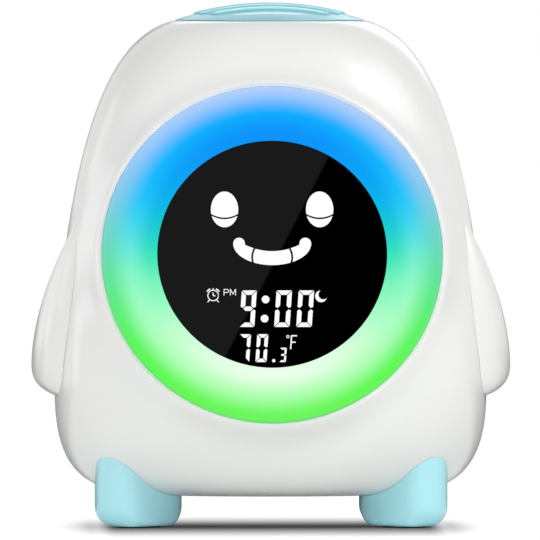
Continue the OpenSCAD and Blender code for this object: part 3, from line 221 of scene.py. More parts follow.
# Cut, join or keep what is shared, with all tools at once.
def carve(target, tools, kind="DIFFERENCE"):
    group = bpy.data.collections.new("tools")
    for tool in tools:
        group.objects.link(tool)
    change = target.modifiers.new("carve", "BOOLEAN")
    change.operation, change.solver, change.operand_type = kind, "MANIFOLD", "COLLECTION"
    change.collection = group
    mesh = bpy.data.meshes.new_from_object(target.evaluated_get(bpy.context.evaluated_depsgraph_get()))
    target.modifiers.clear()
    target.data = mesh
    for tool in tools:
        bpy.data.objects.remove(tool)
    bpy.data.collections.remove(group)
    return target


def mirrorCopy(name, piece):   # the same piece on the other side
    mesh = piece.data.copy()
    mesh.name = name
    points = np.empty(len(mesh.vertices) * 3, np.float32)
    mesh.vertices.foreach_get("co", points)
    points[0::3] *= -1
    mesh.vertices.foreach_set("co", points)
    mesh.flip_normals()
    return addObject(name, mesh)


def dress(piece, paint, rides, replaced=(), sharp=32):
    piece.data.materials.clear()
    piece.data.materials.append(paint.material)
    piece.data.polygons.foreach_set("material_index", np.zeros(len(piece.data.polygons), np.int32))
    piece.data.shade_smooth()
    piece.data.set_sharp_from_angle(angle=math.radians(sharp))
    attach(piece, rides)
    if replaced:
        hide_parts(*replaced)
    return piece


def mouldedPlastic(name, colour, roughness, grain=0.05, coat=0.0, shift=0.03):
    paint = Paint(name)
    cloud, fine = paint.noise(28.0, 2.0), paint.noise(900.0, 2.0)
    tone = paint.blend(cloud, tint(colour, 1 - shift), tint(colour, 1 + shift))
    return paint.surface({"Base Color": tone, "Roughness": roughness + (cloud - 0.5) * 0.06,
                          "Coat Weight": coat, "Coat Roughness": 0.15,
                          "Normal": paint.bump(fine, grain, 0.0002)})


def platedSteel(name, colour, roughness):
    paint = Paint(name)
    grain = paint.noise(1400.0, 4.0)
    tone = paint.blend(grain, tint(colour, 0.85), tint(colour))
    return paint.surface({"Base Color": tone, "Metallic": 1.0, "Roughness": roughness + grain * 0.15,
                          "Normal": paint.bump(grain, 0.08, 0.0001)})


def solderMask(name):
    paint = Paint(name)
    tracks = paint.wire("ShaderNodeTexBrick", {"offset": 0.5}, {
        "Vector": paint.place(), "Scale": 260.0, "Mortar Size": 0.03, "Color1": tint((18, 96, 52)),
        "Color2": tint((22, 104, 58)), "Mortar": tint((60, 140, 84))}, "Color")
    return paint.surface({"Base Color": tracks, "Roughness": 0.35 + paint.noise(300.0) * 0.1})


shellWhite = mouldedPlastic("polished white", (238, 238, 236), 0.3, 0.03, 0.3, 0.006)
innerWhite = mouldedPlastic("matt white", (225, 225, 222), 0.5, 0.1)
paleBlue = mouldedPlastic("satin pale blue", (176, 233, 242), 0.34, 0.06, 0.15, 0.02)
softBlack = mouldedPlastic("soft black rubber", (42, 42, 44), 0.75, 0.4)
mattBlack = mouldedPlastic("matt black", (34, 34, 36), 0.5, 0.15)
ivory = mouldedPlastic("ivory nylon", (232, 228, 210), 0.45, 0.1)
resin = mouldedPlastic("tan resin", (160, 118, 74), 0.3)
cellSleeve = mouldedPlastic("green cell sleeve", (52, 132, 88), 0.25, 0.05, 0.4)
conePaper = mouldedPlastic("dark paper", (48, 48, 52), 0.8, 0.8)
redLead = mouldedPlastic("red lead", (190, 38, 30), 0.4)
blackLead = mouldedPlastic("black lead", (36, 36, 38), 0.4)
plated = platedSteel("plated steel", (205, 206, 208), 0.25)
boardGreen = solderMask("green solder mask")

finishOfSlot = {
    "white_shell": shellWhite, "white_inner": innerWhite, "blue_plastic": paleBlue,
    "black_rubber": softBlack, "steel": plated, "ring_diffuser": innerWhite, "circuit_board": boardGreen,
    "led_body": ivory, "display_window": mattBlack, "display_black": mattBlack, "display_light": ivory,
    "sensor_bead": resin, "cell_sleeve": cellSleeve, "cone_paper": conePaper, "red_lead": redLead,
    "black_lead": blackLead}
for part in frame["record"]["subparts"]:
    finishes = nodes[part["node"]].data.materials
    finishes.clear()
    finishes.append(finishOfSlot[part["material_slot"]].material)
print("finishes on the carried-over nodes")


body = dict(halfW=61.8, halfD=45.95, waistZ=40.0, upperH=106.6, lowerH=31.3, middleY=3.35, lean=9.3,
            waistSquare=4.8, crownSquare=2.3, underSquare=2.2, wall=2.2, partingY=12.3, seam=0.08,
            rimRound=0.8, lowest=-88.0, underWide=0.294, crownWide=0.445, underDeep=0.3, crownDeep=0.26,
            underRise=0.769, crownRise=1.25, leanPower=1.5)
pad = dict(radius=27.2, gap=0.25, land=0.95, rise=4.4, stand=0.35, wall=2.0, skirt=4.0, wellRoom=2.6,
           wellWall=1.8, edge=0.7, edgeDrop=0.55, ribs=6, pitch=5.7, ribW=2.2, ribH=0.6, field=22.0)
face = dict(z=78.3, tilt=9.5, out=41.85, ringR=48.4, shoulder=4.4, crestH=4.5, shoulderH=0.3, lipH=1.5,
            windowR=32.7, lensH=0.6, play=0.15, land=0.5, flare=0.6, lowFlare=0.42)
axisR = 0.03   # turned profiles end this near to their axis

padOpening = pad["radius"] + pad["gap"]
rimAngle = math.degrees(math.acos(((padOpening + pad["land"]) / body["halfW"]) ** (1 / body["crownWide"])))
rimRise = body["upperH"] * math.sin(math.radians(rimAngle)) ** body["crownRise"]
rimZ = body["waistZ"] + rimRise
padY = body["middleY"] + body["lean"] * (rimRise / body["upperH"]) ** body["leanPower"]

tilt = math.radians(face["tilt"])
faceMiddle = np.array([0.0, body["middleY"] - face["out"], face["z"]])
faceUp = np.array([0.0, math.sin(tilt), math.cos(tilt)])
faceOut = np.array([0.0, -math.cos(tilt), math.sin(tilt)])
sideways = np.array([1.0, 0.0, 0.0])


def onFace(across, along, height):   # placement on the tilted face
    inPlane = faceMiddle + across[..., None] * sideways + along[..., None] * faceUp
    return inPlane + height[..., None] * faceOut


# Size of the body at a level: half width and half depth are powers of the cosine of the
# level's angle, the rise over the waist is a power of its sine, and the middle leans back.
def levelSizes(cosine, rise, below):
    halfW = body["halfW"] * cosine ** np.where(below, body["underWide"], body["crownWide"])
    halfD = body["halfD"] * cosine ** np.where(below, body["underDeep"], body["crownDeep"])
    share = np.clip(rise / body["upperH"], 0, 1)
    middle = body["middleY"] + body["lean"] * share ** body["leanPower"]
    waist = body["waistSquare"]
    square = np.where(below, waist + (waist - body["underSquare"]) * rise / body["lowerH"],
                      waist - (waist - body["crownSquare"]) * share ** 2)
    return halfW, halfD, middle, square


# Body, grown outwards by grow, in level rings: each is the superellipse |x/w|^n + |y/d|^n = 1,
# taken at even polar angles.
def bodySolid(name, grow=0.0, columns=288, steps=74):
    lower = np.linspace(body["lowest"], 0, steps, endpoint=False)
    angle = np.radians(np.concatenate([lower, np.linspace(0, rimAngle, int(steps * 1.4))]))[:, None]
    below = angle < 0
    sine, cosine = np.abs(np.sin(angle)), np.cos(angle)
    rise = np.where(below, -body["lowerH"] * sine ** body["underRise"],
                    body["upperH"] * sine ** body["crownRise"])
    halfW, halfD, middle, square = levelSizes(cosine, rise, below)
    turn = turns(columns)[None, :]
    reach = superReach(turn, square)
    up = rise * (1 + grow / np.where(below, body["lowerH"], body["upperH"]))
    x, y = (halfW + grow) * reach * np.cos(turn), middle + (halfD + grow) * reach * np.sin(turn)
    return skin(name, np.stack([x, y, body["waistZ"] + up + 0 * turn], -1))


# How far rays run before they leave a solid: the span in which they do is halved at each look.
def lastInside(isInside, shape, farthest=160.0, halvings=34):
    near, far = np.zeros(shape), np.full(shape, farthest)
    for i in range(halvings):
        halfway = (near + far) / 2
        inside = isInside(halfway)
        near, far = np.where(inside, halfway, near), np.where(inside, far, halfway)
    return near


# Reach of the body along rays from a point in it, by the superellipse sum, which is 1 on its skin.
def bodyReach(start, ways):
    def inBody(reach):
        spot = start + ways * reach[..., None]
        rise = spot[..., 2] - body["waistZ"]
        below = rise < 0
        sine = np.where(below, np.clip(-rise / body["lowerH"], 0, 1) ** (1 / body["underRise"]),
                        np.clip(rise / body["upperH"], 0, 1) ** (1 / body["crownRise"]))
        cosine = np.sqrt(np.maximum(1 - sine ** 2, 1e-9))
        halfW, halfD, middle, square = levelSizes(cosine, rise, below)
        total = np.abs(spot[..., 0] / halfW) ** square + np.abs((spot[..., 1] - middle) / halfD) ** square
        fromTop = rimRise - rise   # the crown is cut flat, with a rounded edge
        fromSide = (1 - total ** (1 / square)) * halfD
        overTop, overSide = np.maximum(body["rimRound"] - np.array([fromTop, fromSide]), 0)
        inEdge = overTop ** 2 + overSide ** 2 < body["rimRound"] ** 2
        return (total < 1) & (rise > -body["lowerH"]) & (fromTop > 0) & inEdge

    return lastInside(inBody, ways.shape[:-1])


seatR = face["ringR"] + face["play"]
collarR = face["ringR"] + face["land"]


# Front half's skin as rays about the face's axis. A ray ends at the body or at the collar,
# whose height over the face plane falls with the square of the distance outside its land,
# more gently below; where the two meet, a soft maximum gives a moulded fillet, which dies
# away on rays that point sideways.
def frontSkin(columns=320, depth=50.0, fillet=5.5, step=0.3, collarOut=58.0, farLean=108, fadeLean=84,
              fadeSpan=30):
    turn = turns(columns)[None, :]
    start = faceMiddle - faceOut * depth
    collarLean = np.arctan(np.arange(collarR - 0.1, collarOut, step) / depth)
    bodyLean = np.linspace(math.atan((collarOut + step) / depth), math.radians(farLean), 150)
    lean = np.concatenate([collarLean, bodyLean])[:, None]
    spoke = np.cos(turn)[..., None] * sideways + np.sin(turn)[..., None] * faceUp
    ways = np.cos(lean)[..., None] * faceOut + np.sin(lean)[..., None] * spoke
    slope, drop = np.sin(lean), np.cos(lean)
    flare = face["flare"] + (face["lowFlare"] - face["flare"]) * np.clip(-np.sin(turn), 0, 1) ** 2
    toBody = bodyReach(start, ways)

    def inCollar(reach):
        return reach * drop - depth < -flare * np.maximum(0, reach * slope - collarR) ** 2

    toCollar = lastInside(inCollar, toBody.shape)
    soften = fillet * np.clip((math.radians(fadeLean) - lean) / math.radians(fadeSpan), 0.02, 1)
    share = np.clip(0.5 + 0.5 * (toBody - toCollar) / soften, 0, 1)
    reach = toBody * share + toCollar * (1 - share) + soften * share * (1 - share)
    reach[0] = depth / np.cos(lean[0])
    outside = start + ways * reach[..., None]
    edge = np.array([[seatR, -14.0], [seatR, -4.0], [seatR, -0.3], [seatR + 0.02, -0.16],
                     [seatR + 0.07, -0.05], [seatR + 0.14, 0.0]])
    inner = onFace(edge[:, :1] * np.cos(turn), edge[:, :1] * np.sin(turn), edge[:, 1:] + 0 * turn)
    return skin("frontShell", np.concatenate([inner, outside])[::-1])


wellFloor = rimZ + pad["stand"] - pad["skirt"] - pad["wellRoom"]


def padWell(name, radius, low, high):
    return prism(name, circle(radius, 96), low, high, upright(0, padY))


def wellWall():
    return padWell("wellWall", padOpening + pad["wellWall"], wellFloor - 2, 160)


def hollow(name, stands):   # body less its wall and what stands in it
    return carve(bodySolid(name, -body["wall"], 96, 26), stands)


front = carve(frontSkin(), [
    hollow("frontHollow", [wellWall()]),
    box("behindParting", (-100, body["partingY"] - body["seam"], -10), (100, 140, 190)),
    padWell("frontWell", padOpening, wellFloor, 170)])
dress(front, shellWhite, "clock", ["front_shell"])
print("front shell:", len(front.data.polygons), "faces")

cell = dict(length=44.5, thick=10.5, gap=0.3, spring=3.2)
panel = dict(width=62.0, height=38.0, z=81.5, y=47.6, thick=2.4, corner=6.0, keyR=4.5, keyGap=0.12,
             pitchX=17.0, pitchZ=13.0, rowZ=-0.5, keyOut=1.6, socketDrop=13.0, socketX=19.0,
             socketW=9.4, socketH=3.7, socketR=1.84, resetR=1.0)
slider = dict(left=1.65, right=5.65, halfH=1.45)
bay = dict(width=cell["length"] + cell["spring"] + 2 * cell["gap"], ledge=1.4, corner=3.0, lugW=8.0,
           height=3 * cell["thick"] + 4 * cell["gap"], lugH=5.4, z=37.0, back=44.0,
           floor=44.0 - cell["thick"] - 1.6, wall=1.6, gap=0.3, screwR=1.4)
speaker = dict(z=118.5, seatY=36.0, rimY=42.2, radius=14.0, gap=0.3, wall=1.6, ledge=2.0, hole=0.9,
               pitch=2.8, rings=4, frontY=44.6)
vent = dict(x=39.0, pitch=3.0, halfW=0.6, halfH=4.5)
caseScrews = [(50.0, 32.0), (40.0, 112.0), (-50.0, 32.0), (-40.0, 112.0)]
caseScrew = dict(seat=4.0, headR=2.6, holeR=1.7, postR=4.0)
doorW, doorH = bay["width"] + 2 * bay["ledge"], bay["height"] + 2 * bay["ledge"]
doorScrewZ = bay["z"] + bay["height"] / 2 + bay["ledge"] + bay["lugH"] / 2 - 1
bayRight, bayLow, bayTop = bay["width"] / 2, bay["z"] - bay["height"] / 2, bay["z"] + bay["height"] / 2
keyPlaces = {"mode_key": (-1, 1), "up_key": (0, 1), "alarm_key": (1, 1), "light_key": (-1, 0),
             "down_key": (0, 0), "sound_key": (1, 0)}
panelBack = panel["y"] - panel["thick"]
panelIn, panelOut, pastBack = panelBack - 1, panel["y"] + 1, 80   # cutters run between these
socketZ = panel["z"] - panel["socketDrop"]
speakerOut = speaker["radius"] + speaker["gap"]


def keyMiddle(place):
    return place[0] * panel["pitchX"], panel["z"] + panel["rowZ"] + place[1] * panel["pitchZ"]


def doorShape(name, shrink, low, high):
    plate = roundedBox(doorW - 2 * shrink, doorH - 2 * shrink, bay["corner"])
    lug = roundedBox(bay["lugW"] - 2 * shrink, 2 * bay["lugH"] - 2 * shrink, bay["corner"])
    return carve(prism(name, plate, low, high, backward(0, bay["z"])),
                 [prism("lug", lug, low, high, backward(0, bay["z"] + doorH / 2))], "UNION")


rearStands = [
    prism("panelBlock", roundedBox(panel["width"] + 4, panel["height"] + 4, panel["corner"]), panelBack,
          panelBack + 20, backward(0, panel["z"])),
    box("bayBlock", (-bayRight - 3, bay["floor"] - bay["wall"], bayLow - 3),
        (bayRight + 3, 70, bayTop + 3)),
    bore("seat", speakerOut + speaker["wall"], speaker["seatY"], 70, 0, speaker["z"]),
    wellWall()]
for x, z in caseScrews:
    rearStands.append(bore("post", caseScrew["postR"], body["partingY"] - 1, 72, x, z))
rearCuts = [
    hollow("rearHollow", rearStands),
    box("beforeParting", (-100, -100, -10), (100, body["partingY"] + body["seam"], 190)),
    padWell("rearWell", padOpening, wellFloor, 170),
    prism("recess", roundedBox(panel["width"], panel["height"], panel["corner"], 96), panel["y"], pastBack,
          backward(0, panel["z"])),
    box("sliderSlot", (-panel["socketX"] - slider["left"], panelIn, socketZ - slider["halfH"]),
        (-panel["socketX"] + slider["right"], panelOut, socketZ + slider["halfH"])),
    prism("socketHole", roundedBox(panel["socketW"], panel["socketH"], panel["socketR"]), panelIn, panelOut,
          backward(panel["socketX"], socketZ)),
    bore("resetHole", panel["resetR"], panelIn, panelOut, 0, socketZ),
    box("bay", (-bayRight, bay["floor"], bayLow), (bayRight, pastBack, bayTop)),
    doorShape("doorway", 0.0, bay["back"], pastBack),
    bore("doorThread", bay["screwR"] + 0.1, bay["back"] - 10, bay["back"] + 1, 0, doorScrewZ),
    bore("speakerBack", speakerOut, speaker["seatY"] - 1, speaker["rimY"], 0, speaker["z"]),
    bore("speakerFront", speaker["radius"] - speaker["ledge"], speaker["rimY"] - 1, speaker["frontY"],
         0, speaker["z"])]
keyHoleR, wellR = panel["keyR"] + panel["keyGap"], caseScrew["headR"] + 0.4
seatY = body["partingY"] + caseScrew["seat"]
for place in keyPlaces.values():
    rearCuts.append(bore("keyHole", keyHoleR, panelIn, panelOut, *keyMiddle(place), 64))
for x, z in caseScrews:
    rearCuts.append(bore("screwHole", caseScrew["holeR"], body["partingY"] - 2, 60, x, z))
    rearCuts.append(bore("screwWell", wellR, seatY, pastBack, x, z))
for ring in range(speaker["rings"] + 1):
    for step in range(max(1, 6 * ring)):
        turn, away = math.radians(step * 60 / max(1, ring)), ring * speaker["pitch"]
        rearCuts.append(bore("soundHole", speaker["hole"], 40, pastBack, away * math.cos(turn),
                             speaker["z"] + away * math.sin(turn), 20))
for step in (-1, 0, 1):
    x = vent["x"] + step * vent["pitch"]
    rearCuts.append(box("vent", (x - vent["halfW"], 30, socketZ - vent["halfH"]),
                        (x + vent["halfW"], pastBack, socketZ + vent["halfH"])))
rear = carve(bodySolid("rearShell"), rearCuts)
dress(rear, shellWhite, "clock", ["rear_shell"])
print("rear shell:", len(rear.data.polygons), "faces")

doorPlate = doorShape("doorPlate", bay["gap"], bay["back"] + 0.05, pastBack)
door = carve(bodySolid("batteryDoor"), [doorPlate], "INTERSECT")
carve(door, [bore("doorHole", bay["screwR"] + 0.1, bay["back"] - 1, pastBack, 0, doorScrewZ),
             bore("doorSeat", caseScrew["headR"], bay["back"] + 2.0, pastBack, 0, doorScrewZ)])
dress(door, shellWhite, "battery_door", ["battery_door"])
print("battery door:", len(door.data.polygons), "faces")


wing = dict(coreX=54.0, reach=6.7, lowZ=36.4, tipZ=90.6, halfD=19.5, frontY=9.0, tipForward=13.5, sweep=1.2,
            broad=0.19, gap=0.08, power=2.8, fullness=0.35, taper=1.75, underRise=0.77, end=0.985)


# Wing: rings that are superellipses. Under the broadest level the width follows a cosine; over
# it, it falls with a power of the height, while the middle moves forward.
def wingSolid(columns=96):
    upper = wing["end"] * np.linspace(0, 1, 56) ** 0.9
    share = np.concatenate([np.linspace(-wing["end"], 0, 26, endpoint=False), upper])[:, None]
    low, over, bend = share < 0, np.maximum(share, 0), np.pi / 2 * np.minimum(share, 0)
    under = np.cos(bend)
    outline = np.where(low, under, 1 - over ** wing["taper"])
    rise = np.where(low, wing["broad"] * (1 - np.sin(-bend) ** wing["underRise"]),
                    wing["broad"] + (1 - wing["broad"]) * share)
    halfW = (body["halfW"] + wing["reach"] - wing["coreX"]) * outline
    halfD = wing["halfD"] * np.where(low, under ** wing["fullness"], outline)
    forward = wing["tipForward"] * over ** wing["sweep"]
    turn = turns(columns)[None, :]
    bulge = superReach(turn, wing["power"])
    x = wing["coreX"] + halfW * bulge * np.cos(turn)
    y = -wing["frontY"] - forward + halfD * bulge * np.sin(turn)
    z = wing["lowZ"] + (wing["tipZ"] - wing["lowZ"]) * rise + 0 * turn
    return skin("rightWing", np.stack([x, y, z], -1))


rightWing = carve(wingSolid(), [bodySolid("bodyCut", wing["gap"])])
leftWing = mirrorCopy("leftWing", rightWing)
dress(rightWing, shellWhite, "clock", ["right_wing"])
dress(leftWing, shellWhite, "clock", ["left_wing"])

foot = dict(x=37.8, halfW=12.55, edge=7.0, leastEdge=2.0, blend=0.5, toeR=7.2, toeY=-26.3, instepY=-11.5,
            heelY=25.0, heelR=11.95, low=0.45, wallZ=12.0, topZ=30.0, screwDy=23.0, holeR=1.7, seatR=3.0,
            seat=4.5, rubberR=6.2, rubberZ=1.2)


# Foot: toe, instep and heel circles in one outline. A direction's reach is the soft maximum of
# the circles' reaches, and the point on it follows from the reach and its slope. Near the
# ground the outline shrinks as a quarter circle; its radius is the soft minimum of the wanted
# one and the room outside the rubber pad.
def footSolid(columns=240):
    sine, cosine = np.sin(turns(columns)), np.cos(turns(columns))
    drop = np.linspace(0, math.pi / 2, 14)[:, None]
    middles = np.array([[foot["x"] + foot["halfW"] - foot["toeR"], foot["toeY"]],
                        [foot["x"], foot["instepY"]], [foot["x"], foot["heelY"]]])
    radii = np.array([foot["toeR"], foot["halfW"], foot["heelR"]])
    reaches = middles[:, :1] * cosine + middles[:, 1:] * sine + radii[:, None]
    weights = np.exp((reaches - reaches.max(0)) / foot["blend"])
    reach = reaches.max(0) + foot["blend"] * (np.log(weights.sum(0)) - math.log(2))
    weights = weights / weights.sum(0)
    slope = (weights * (middles[:, 1:] * cosine - middles[:, :1] * sine)).sum(0)
    toPad = foot["x"] * cosine + (body["middleY"] - foot["screwDy"]) * sine
    room = reach - toPad - foot["rubberR"]
    room = (room + np.hypot(room, foot["leastEdge"])) / 2
    edge = (room ** -3 + foot["edge"] ** -3) ** (-1 / 3)
    shrink = np.concatenate([edge * (1 - np.sin(drop)), [0 * edge, 0 * edge]])
    height = np.concatenate([foot["low"] + edge * (1 - np.cos(drop)),
                             [foot["wallZ"] + 0 * edge, foot["topZ"] + 0 * edge]])
    x, y = (reach - shrink) * cosine - slope * sine, (reach - shrink) * sine + slope * cosine
    return skin("rightFoot", np.stack([x, y, height], -1))


footCuts = [bodySolid("bodyCut", wing["gap"])]
for y in (body["middleY"] - foot["screwDy"], body["middleY"] + foot["screwDy"]):
    atScrew = upright(foot["x"], y)
    footCuts.append(prism("footHole", circle(foot["holeR"]), -1, 40, atScrew))
    footCuts.append(prism("footSeat", circle(foot["seatR"]), -1, foot["seat"], atScrew))
    footCuts.append(prism("rubberSeat", circle(foot["rubberR"] + 0.05, 64), -1, foot["rubberZ"], atScrew))
rightFoot = carve(footSolid(), footCuts)
leftFoot = mirrorCopy("leftFoot", rightFoot)
dress(rightFoot, paleBlue, "clock", ["right_foot"])
dress(leftFoot, paleBlue, "clock", ["left_foot"])
print("wings and feet:", len(rightWing.data.polygons), len(rightFoot.data.polygons), "faces each")


domeR = (pad["radius"] ** 2 + pad["rise"] ** 2) / (2 * pad["rise"])
padRim = rimZ + pad["stand"]


def softStep(value, low, high):   # from 0 to 1 as a cubic
    share = np.clip((value - low) / (high - low), 0, 1)
    return share * share * (3 - 2 * share)


# Pad: a spherical dome in polar rows, with straight ribs whose height is a product of soft
# steps across each rib and at the field's edge, then a rounded rim and a skirt.
def padSolid(columns=480):
    turn = turns(columns)[None, :]
    domeEnd = pad["radius"] - pad["edge"]
    radius = np.concatenate([[axisR], np.linspace(0.4, pad["field"] + 0.6, 92),
                             np.linspace(pad["field"] + 0.8, domeEnd, 14)])[:, None]
    lines = (np.arange(pad["ribs"]) - (pad["ribs"] - 1) / 2) * pad["pitch"]
    away = np.min(np.abs((radius * np.sin(turn))[..., None] - lines), -1)
    rib = softStep(away, pad["ribW"] / 2 + 0.12, pad["ribW"] / 2 - 0.28)
    rib = rib * softStep(radius, pad["field"] + 0.15, pad["field"] - 0.45)
    centre = padRim + pad["rise"] - domeR
    height = centre + np.sqrt(domeR ** 2 - radius ** 2) + pad["ribH"] * rib
    bend = np.linspace(0, math.pi / 2, 7)[1:, None]
    edgeR = domeEnd + pad["edge"] * np.sin(bend)
    edgeZ = centre + math.sqrt(domeR ** 2 - domeEnd ** 2) - pad["edgeDrop"] * (1 - np.cos(bend))
    wallR = pad["radius"] - np.array([[0.0], [pad["wall"]], [pad["wall"]]])
    wallZ = padRim - np.array([[pad["skirt"]], [pad["skirt"]], [1.0]])
    allR = np.concatenate([radius, edgeR, wallR])
    allZ = np.concatenate([height, np.concatenate([edgeZ, wallZ]) + 0 * turn])
    return skin("topPad", np.stack([allR * np.cos(turn), padY + allR * np.sin(turn), allZ], -1)[::-1])


# Satin blue of the pad, with a painted highlight that makes the crowns of the ribs paler: a soft step on
# the distance to the nearest rib's line, which is a saw-tooth of the depth.
def padPlastic():
    paint = Paint("ribbed pale blue")
    across, along = paint.axes(paint.place((0, padY * mm, 0)))[:2]
    halfPitch = pad["pitch"] / 2 * mm
    tooth = paint.math("PINGPONG", along + pad["pitch"] * mm * pad["ribs"], halfPitch)
    radius = (across * across + along * along) ** 0.5
    rib = tooth.smooth(halfPitch - 0.0014, halfPitch - 0.0008)
    rib = rib * radius.smooth((pad["field"] + 0.2) * mm, (pad["field"] - 0.5) * mm)
    # the paler tone on the rib crowns is a painted highlight
    tone = paint.blend(rib, tint((112, 190, 202)), tint((174, 240, 252)))
    return paint.surface({"Base Color": tone, "Roughness": 0.3 + (paint.noise(28.0, 2.0) - 0.5) * 0.06,
                          "Specular IOR Level": 0.3,
                          "Normal": paint.bump(paint.noise(900.0, 2.0), 0.05, 0.0002)})


topPad = dress(padSolid(), padPlastic(), "top_pad", ["top_pad"], 40)
print("top pad:", len(topPad.data.polygons), "faces")


key = dict(edge=0.6, dishRim=1.0, dish=0.25, stemR=1.75, stemY=40.4, flange=0.9, flangeIn=1.15, play=0.05)


# Key: a stem, a flange and a head whose edge is a quarter circle and whose top is a parabola.
def keySolid(name, place):
    radius, top = panel["keyR"], panel["y"] + panel["keyOut"]
    stemR, flangeR, flangeIn = key["stemR"], radius + key["flange"], panelBack - key["flangeIn"]
    stem = [[axisR, key["stemY"]], [stemR, key["stemY"]], [stemR, flangeIn], [flangeR, flangeIn],
            [flangeR, panelBack - key["play"]], [radius, panelBack - key["play"]]]
    edge = polar(key["edge"], np.linspace(0, math.pi / 2, 7), radius - key["edge"], top - key["edge"])
    away = np.linspace(radius - key["dishRim"], axisR, 9)
    dish = np.stack([away, top - key["dish"] * (1 - (away / radius) ** 2)], -1)
    return revolve(name, np.concatenate([stem, edge, dish]), backward(*keyMiddle(place)), 72)


for name, place in keyPlaces.items():
    dress(keySolid(name.replace("_key", "Key"), place), paleBlue, name, [name])
print("keys done")


crestR = face["ringR"] - face["shoulder"]
hidden = dict(flange=2.0, front=-3.05, rear=-4.5, inside=-1.0, wall=2.0, legOut=36.2,
                legIn=34.45, legTop=0.2, legEnd=-4.0)


# Ring: outside the crest its skin is a quarter ellipse, inside it the height falls with the
# distance's power 1.6 to the lip at the window; the back is the same line a wall deeper.
def ringProfile():
    inner = np.linspace(face["windowR"] + 0.25, crestR, 44)
    fall = ((crestR - inner) / (crestR - face["windowR"])) ** 1.6
    innerH = face["lipH"] + (face["crestH"] - face["lipH"]) * (1 - fall)
    bend = np.linspace(0, math.pi / 2, 28)[1:]
    outer = crestR + face["shoulder"] * np.sin(bend)
    outerH = face["shoulderH"] + (face["crestH"] - face["shoulderH"]) * np.cos(bend)
    lipR, lensTop = face["windowR"] + 0.05, face["lensH"] + 0.05
    lip = [[lipR, lensTop], [lipR, face["lipH"] - 0.25], [face["windowR"] + 0.12, face["lipH"] - 0.06]]
    outR, inR = face["ringR"] + hidden["flange"], face["ringR"] - hidden["wall"]
    back = [[face["ringR"], hidden["front"]], [outR, hidden["front"]],
            [outR, hidden["rear"]], [inR, hidden["rear"]], [inR, hidden["inside"]],
            [crestR, face["crestH"] - hidden["wall"]], [hidden["legOut"], hidden["legTop"]],
            [hidden["legOut"], hidden["legEnd"]], [hidden["legIn"], hidden["legEnd"]],
            [hidden["legIn"], lensTop]]
    rows = [lip, np.stack([inner, innerH], -1), np.stack([outer, outerH], -1), back]
    return np.concatenate(rows)[::-1]


# Screen colours of the lit ring from its foot (0) to its top (1): at the rim, midway and at the window.
# They are the ring's glow with painted light: a painted highlight makes the rim paler at the top, and a
# painted reflection makes the foot pale, near white by the window.
ringGlowAndPaintedHighlights = [
    [(0.0, (110, 244, 96)), (0.14, (90, 252, 66)), (0.34, (90, 238, 110)), (0.54, (104, 214, 190)),
     (0.72, (136, 196, 248)), (1.0, (180, 208, 255))],
    [(0.0, (180, 255, 180)), (0.22, (186, 255, 190)), (0.44, (130, 252, 190)), (0.6, (30, 208, 248)),
     (0.76, (0, 178, 255)), (1.0, (0, 166, 255))],
    [(0.1, (250, 255, 246)), (0.24, (208, 255, 212)), (0.42, (90, 246, 178)), (0.54, (0, 216, 190)),
     (0.7, (0, 160, 252)), (0.95, (0, 134, 250))]]


def ringLight():
    paint = Paint("lit ring")
    across, outwards, height = paint.axes(paint.place(tuple(faceMiddle * mm)))
    along = outwards * math.sin(tilt) + height * math.cos(tilt)   # distance up the tilted face
    radius = (across * across + along * along) ** 0.5
    level = along / (face["ringR"] * mm) * 0.5 + 0.5   # 0 at the foot of the ring, 1 at its top
    share = (radius - face["windowR"] * mm) / ((face["ringR"] - face["windowR"]) * mm)
    # the ramps give the ring's glow together with its painted highlight and painted reflection
    rim, middle, inner = [paint.ramp(level, stops) for stops in ringGlowAndPaintedHighlights]
    tone = paint.blend(share.smooth(0.1, 0.55), inner, middle)
    tone = paint.blend(share.smooth(0.45, 0.95), tone, rim)
    tone = paint.blend(share.smooth(0.975, 1.0, 0.0, 0.4), tone, tint((120, 140, 150)))
    return paint.surface({"Base Color": (0.002, 0.002, 0.002, 1), "Specular IOR Level": 0.03,
                          "Roughness": 0.3 + paint.noise(60.0) * 0.05,
                          "Emission Color": tone, "Emission Strength": 1.0})


ring = revolve("lightRing", ringProfile(), onFace, 320, True)
dress(ring, ringLight(), "clock", ["light_ring"])
print("light ring:", len(ring.data.polygons), "faces")


def windowBlack():
    paint = Paint("polished dark window")
    smear = paint.noise(35.0, 2.0)
    return paint.surface({"Base Color": (0, 0, 0, 1), "Roughness": 0.002 + smear * 0.002})


window = dict(radius=34.2, thick=1.8)
lensBack = face["lensH"] - window["thick"]
lens = revolve("displayWindow", [[axisR, lensBack], [window["radius"], lensBack],
                                 [window["radius"], face["lensH"]], [axisR, face["lensH"]]], onFace, 192)
dress(lens, windowBlack(), "clock", ["display_lens"])

glyph = dict(low=0.615, high=0.655, cutLow=0.3, cutHigh=1.2, eyeX=13.55, eyeY=12.95, eyeW=3.9, eyeH=5.15,
             egg=0.02, lidDrop=1.75, lidSag=1.1, lidLine=0.5, smileW=11.1, smileLow=-3.1, smileDrop=6.2,
             smileT=4.0, smileInnerR=16.4, smileEndR=1.67, splitR=5.2, splitT=0.55, splitX=0.5, splitY=2.2,
             slant=0.07)
litPieces = []


def lit(outline):
    litPieces.append(prism("lit", outline, glyph["low"], glyph["high"], onFace))
    return litPieces[-1]


def through(name, outline):   # cutter for a lit piece
    return prism(name, outline, glyph["cutLow"], glyph["cutHigh"], onFace)


# Arc band: points at an even step of angle along an outer and back along an inner radius.
def band(radius, thick, start, end, x=0.0, y=0.0, count=24):
    turn = np.radians(np.linspace(start, end, count))
    outer, inner = polar(radius + thick / 2, turn, x, y), polar(radius - thick / 2, turn, x, y)
    return np.concatenate([outer, inner[::-1]])


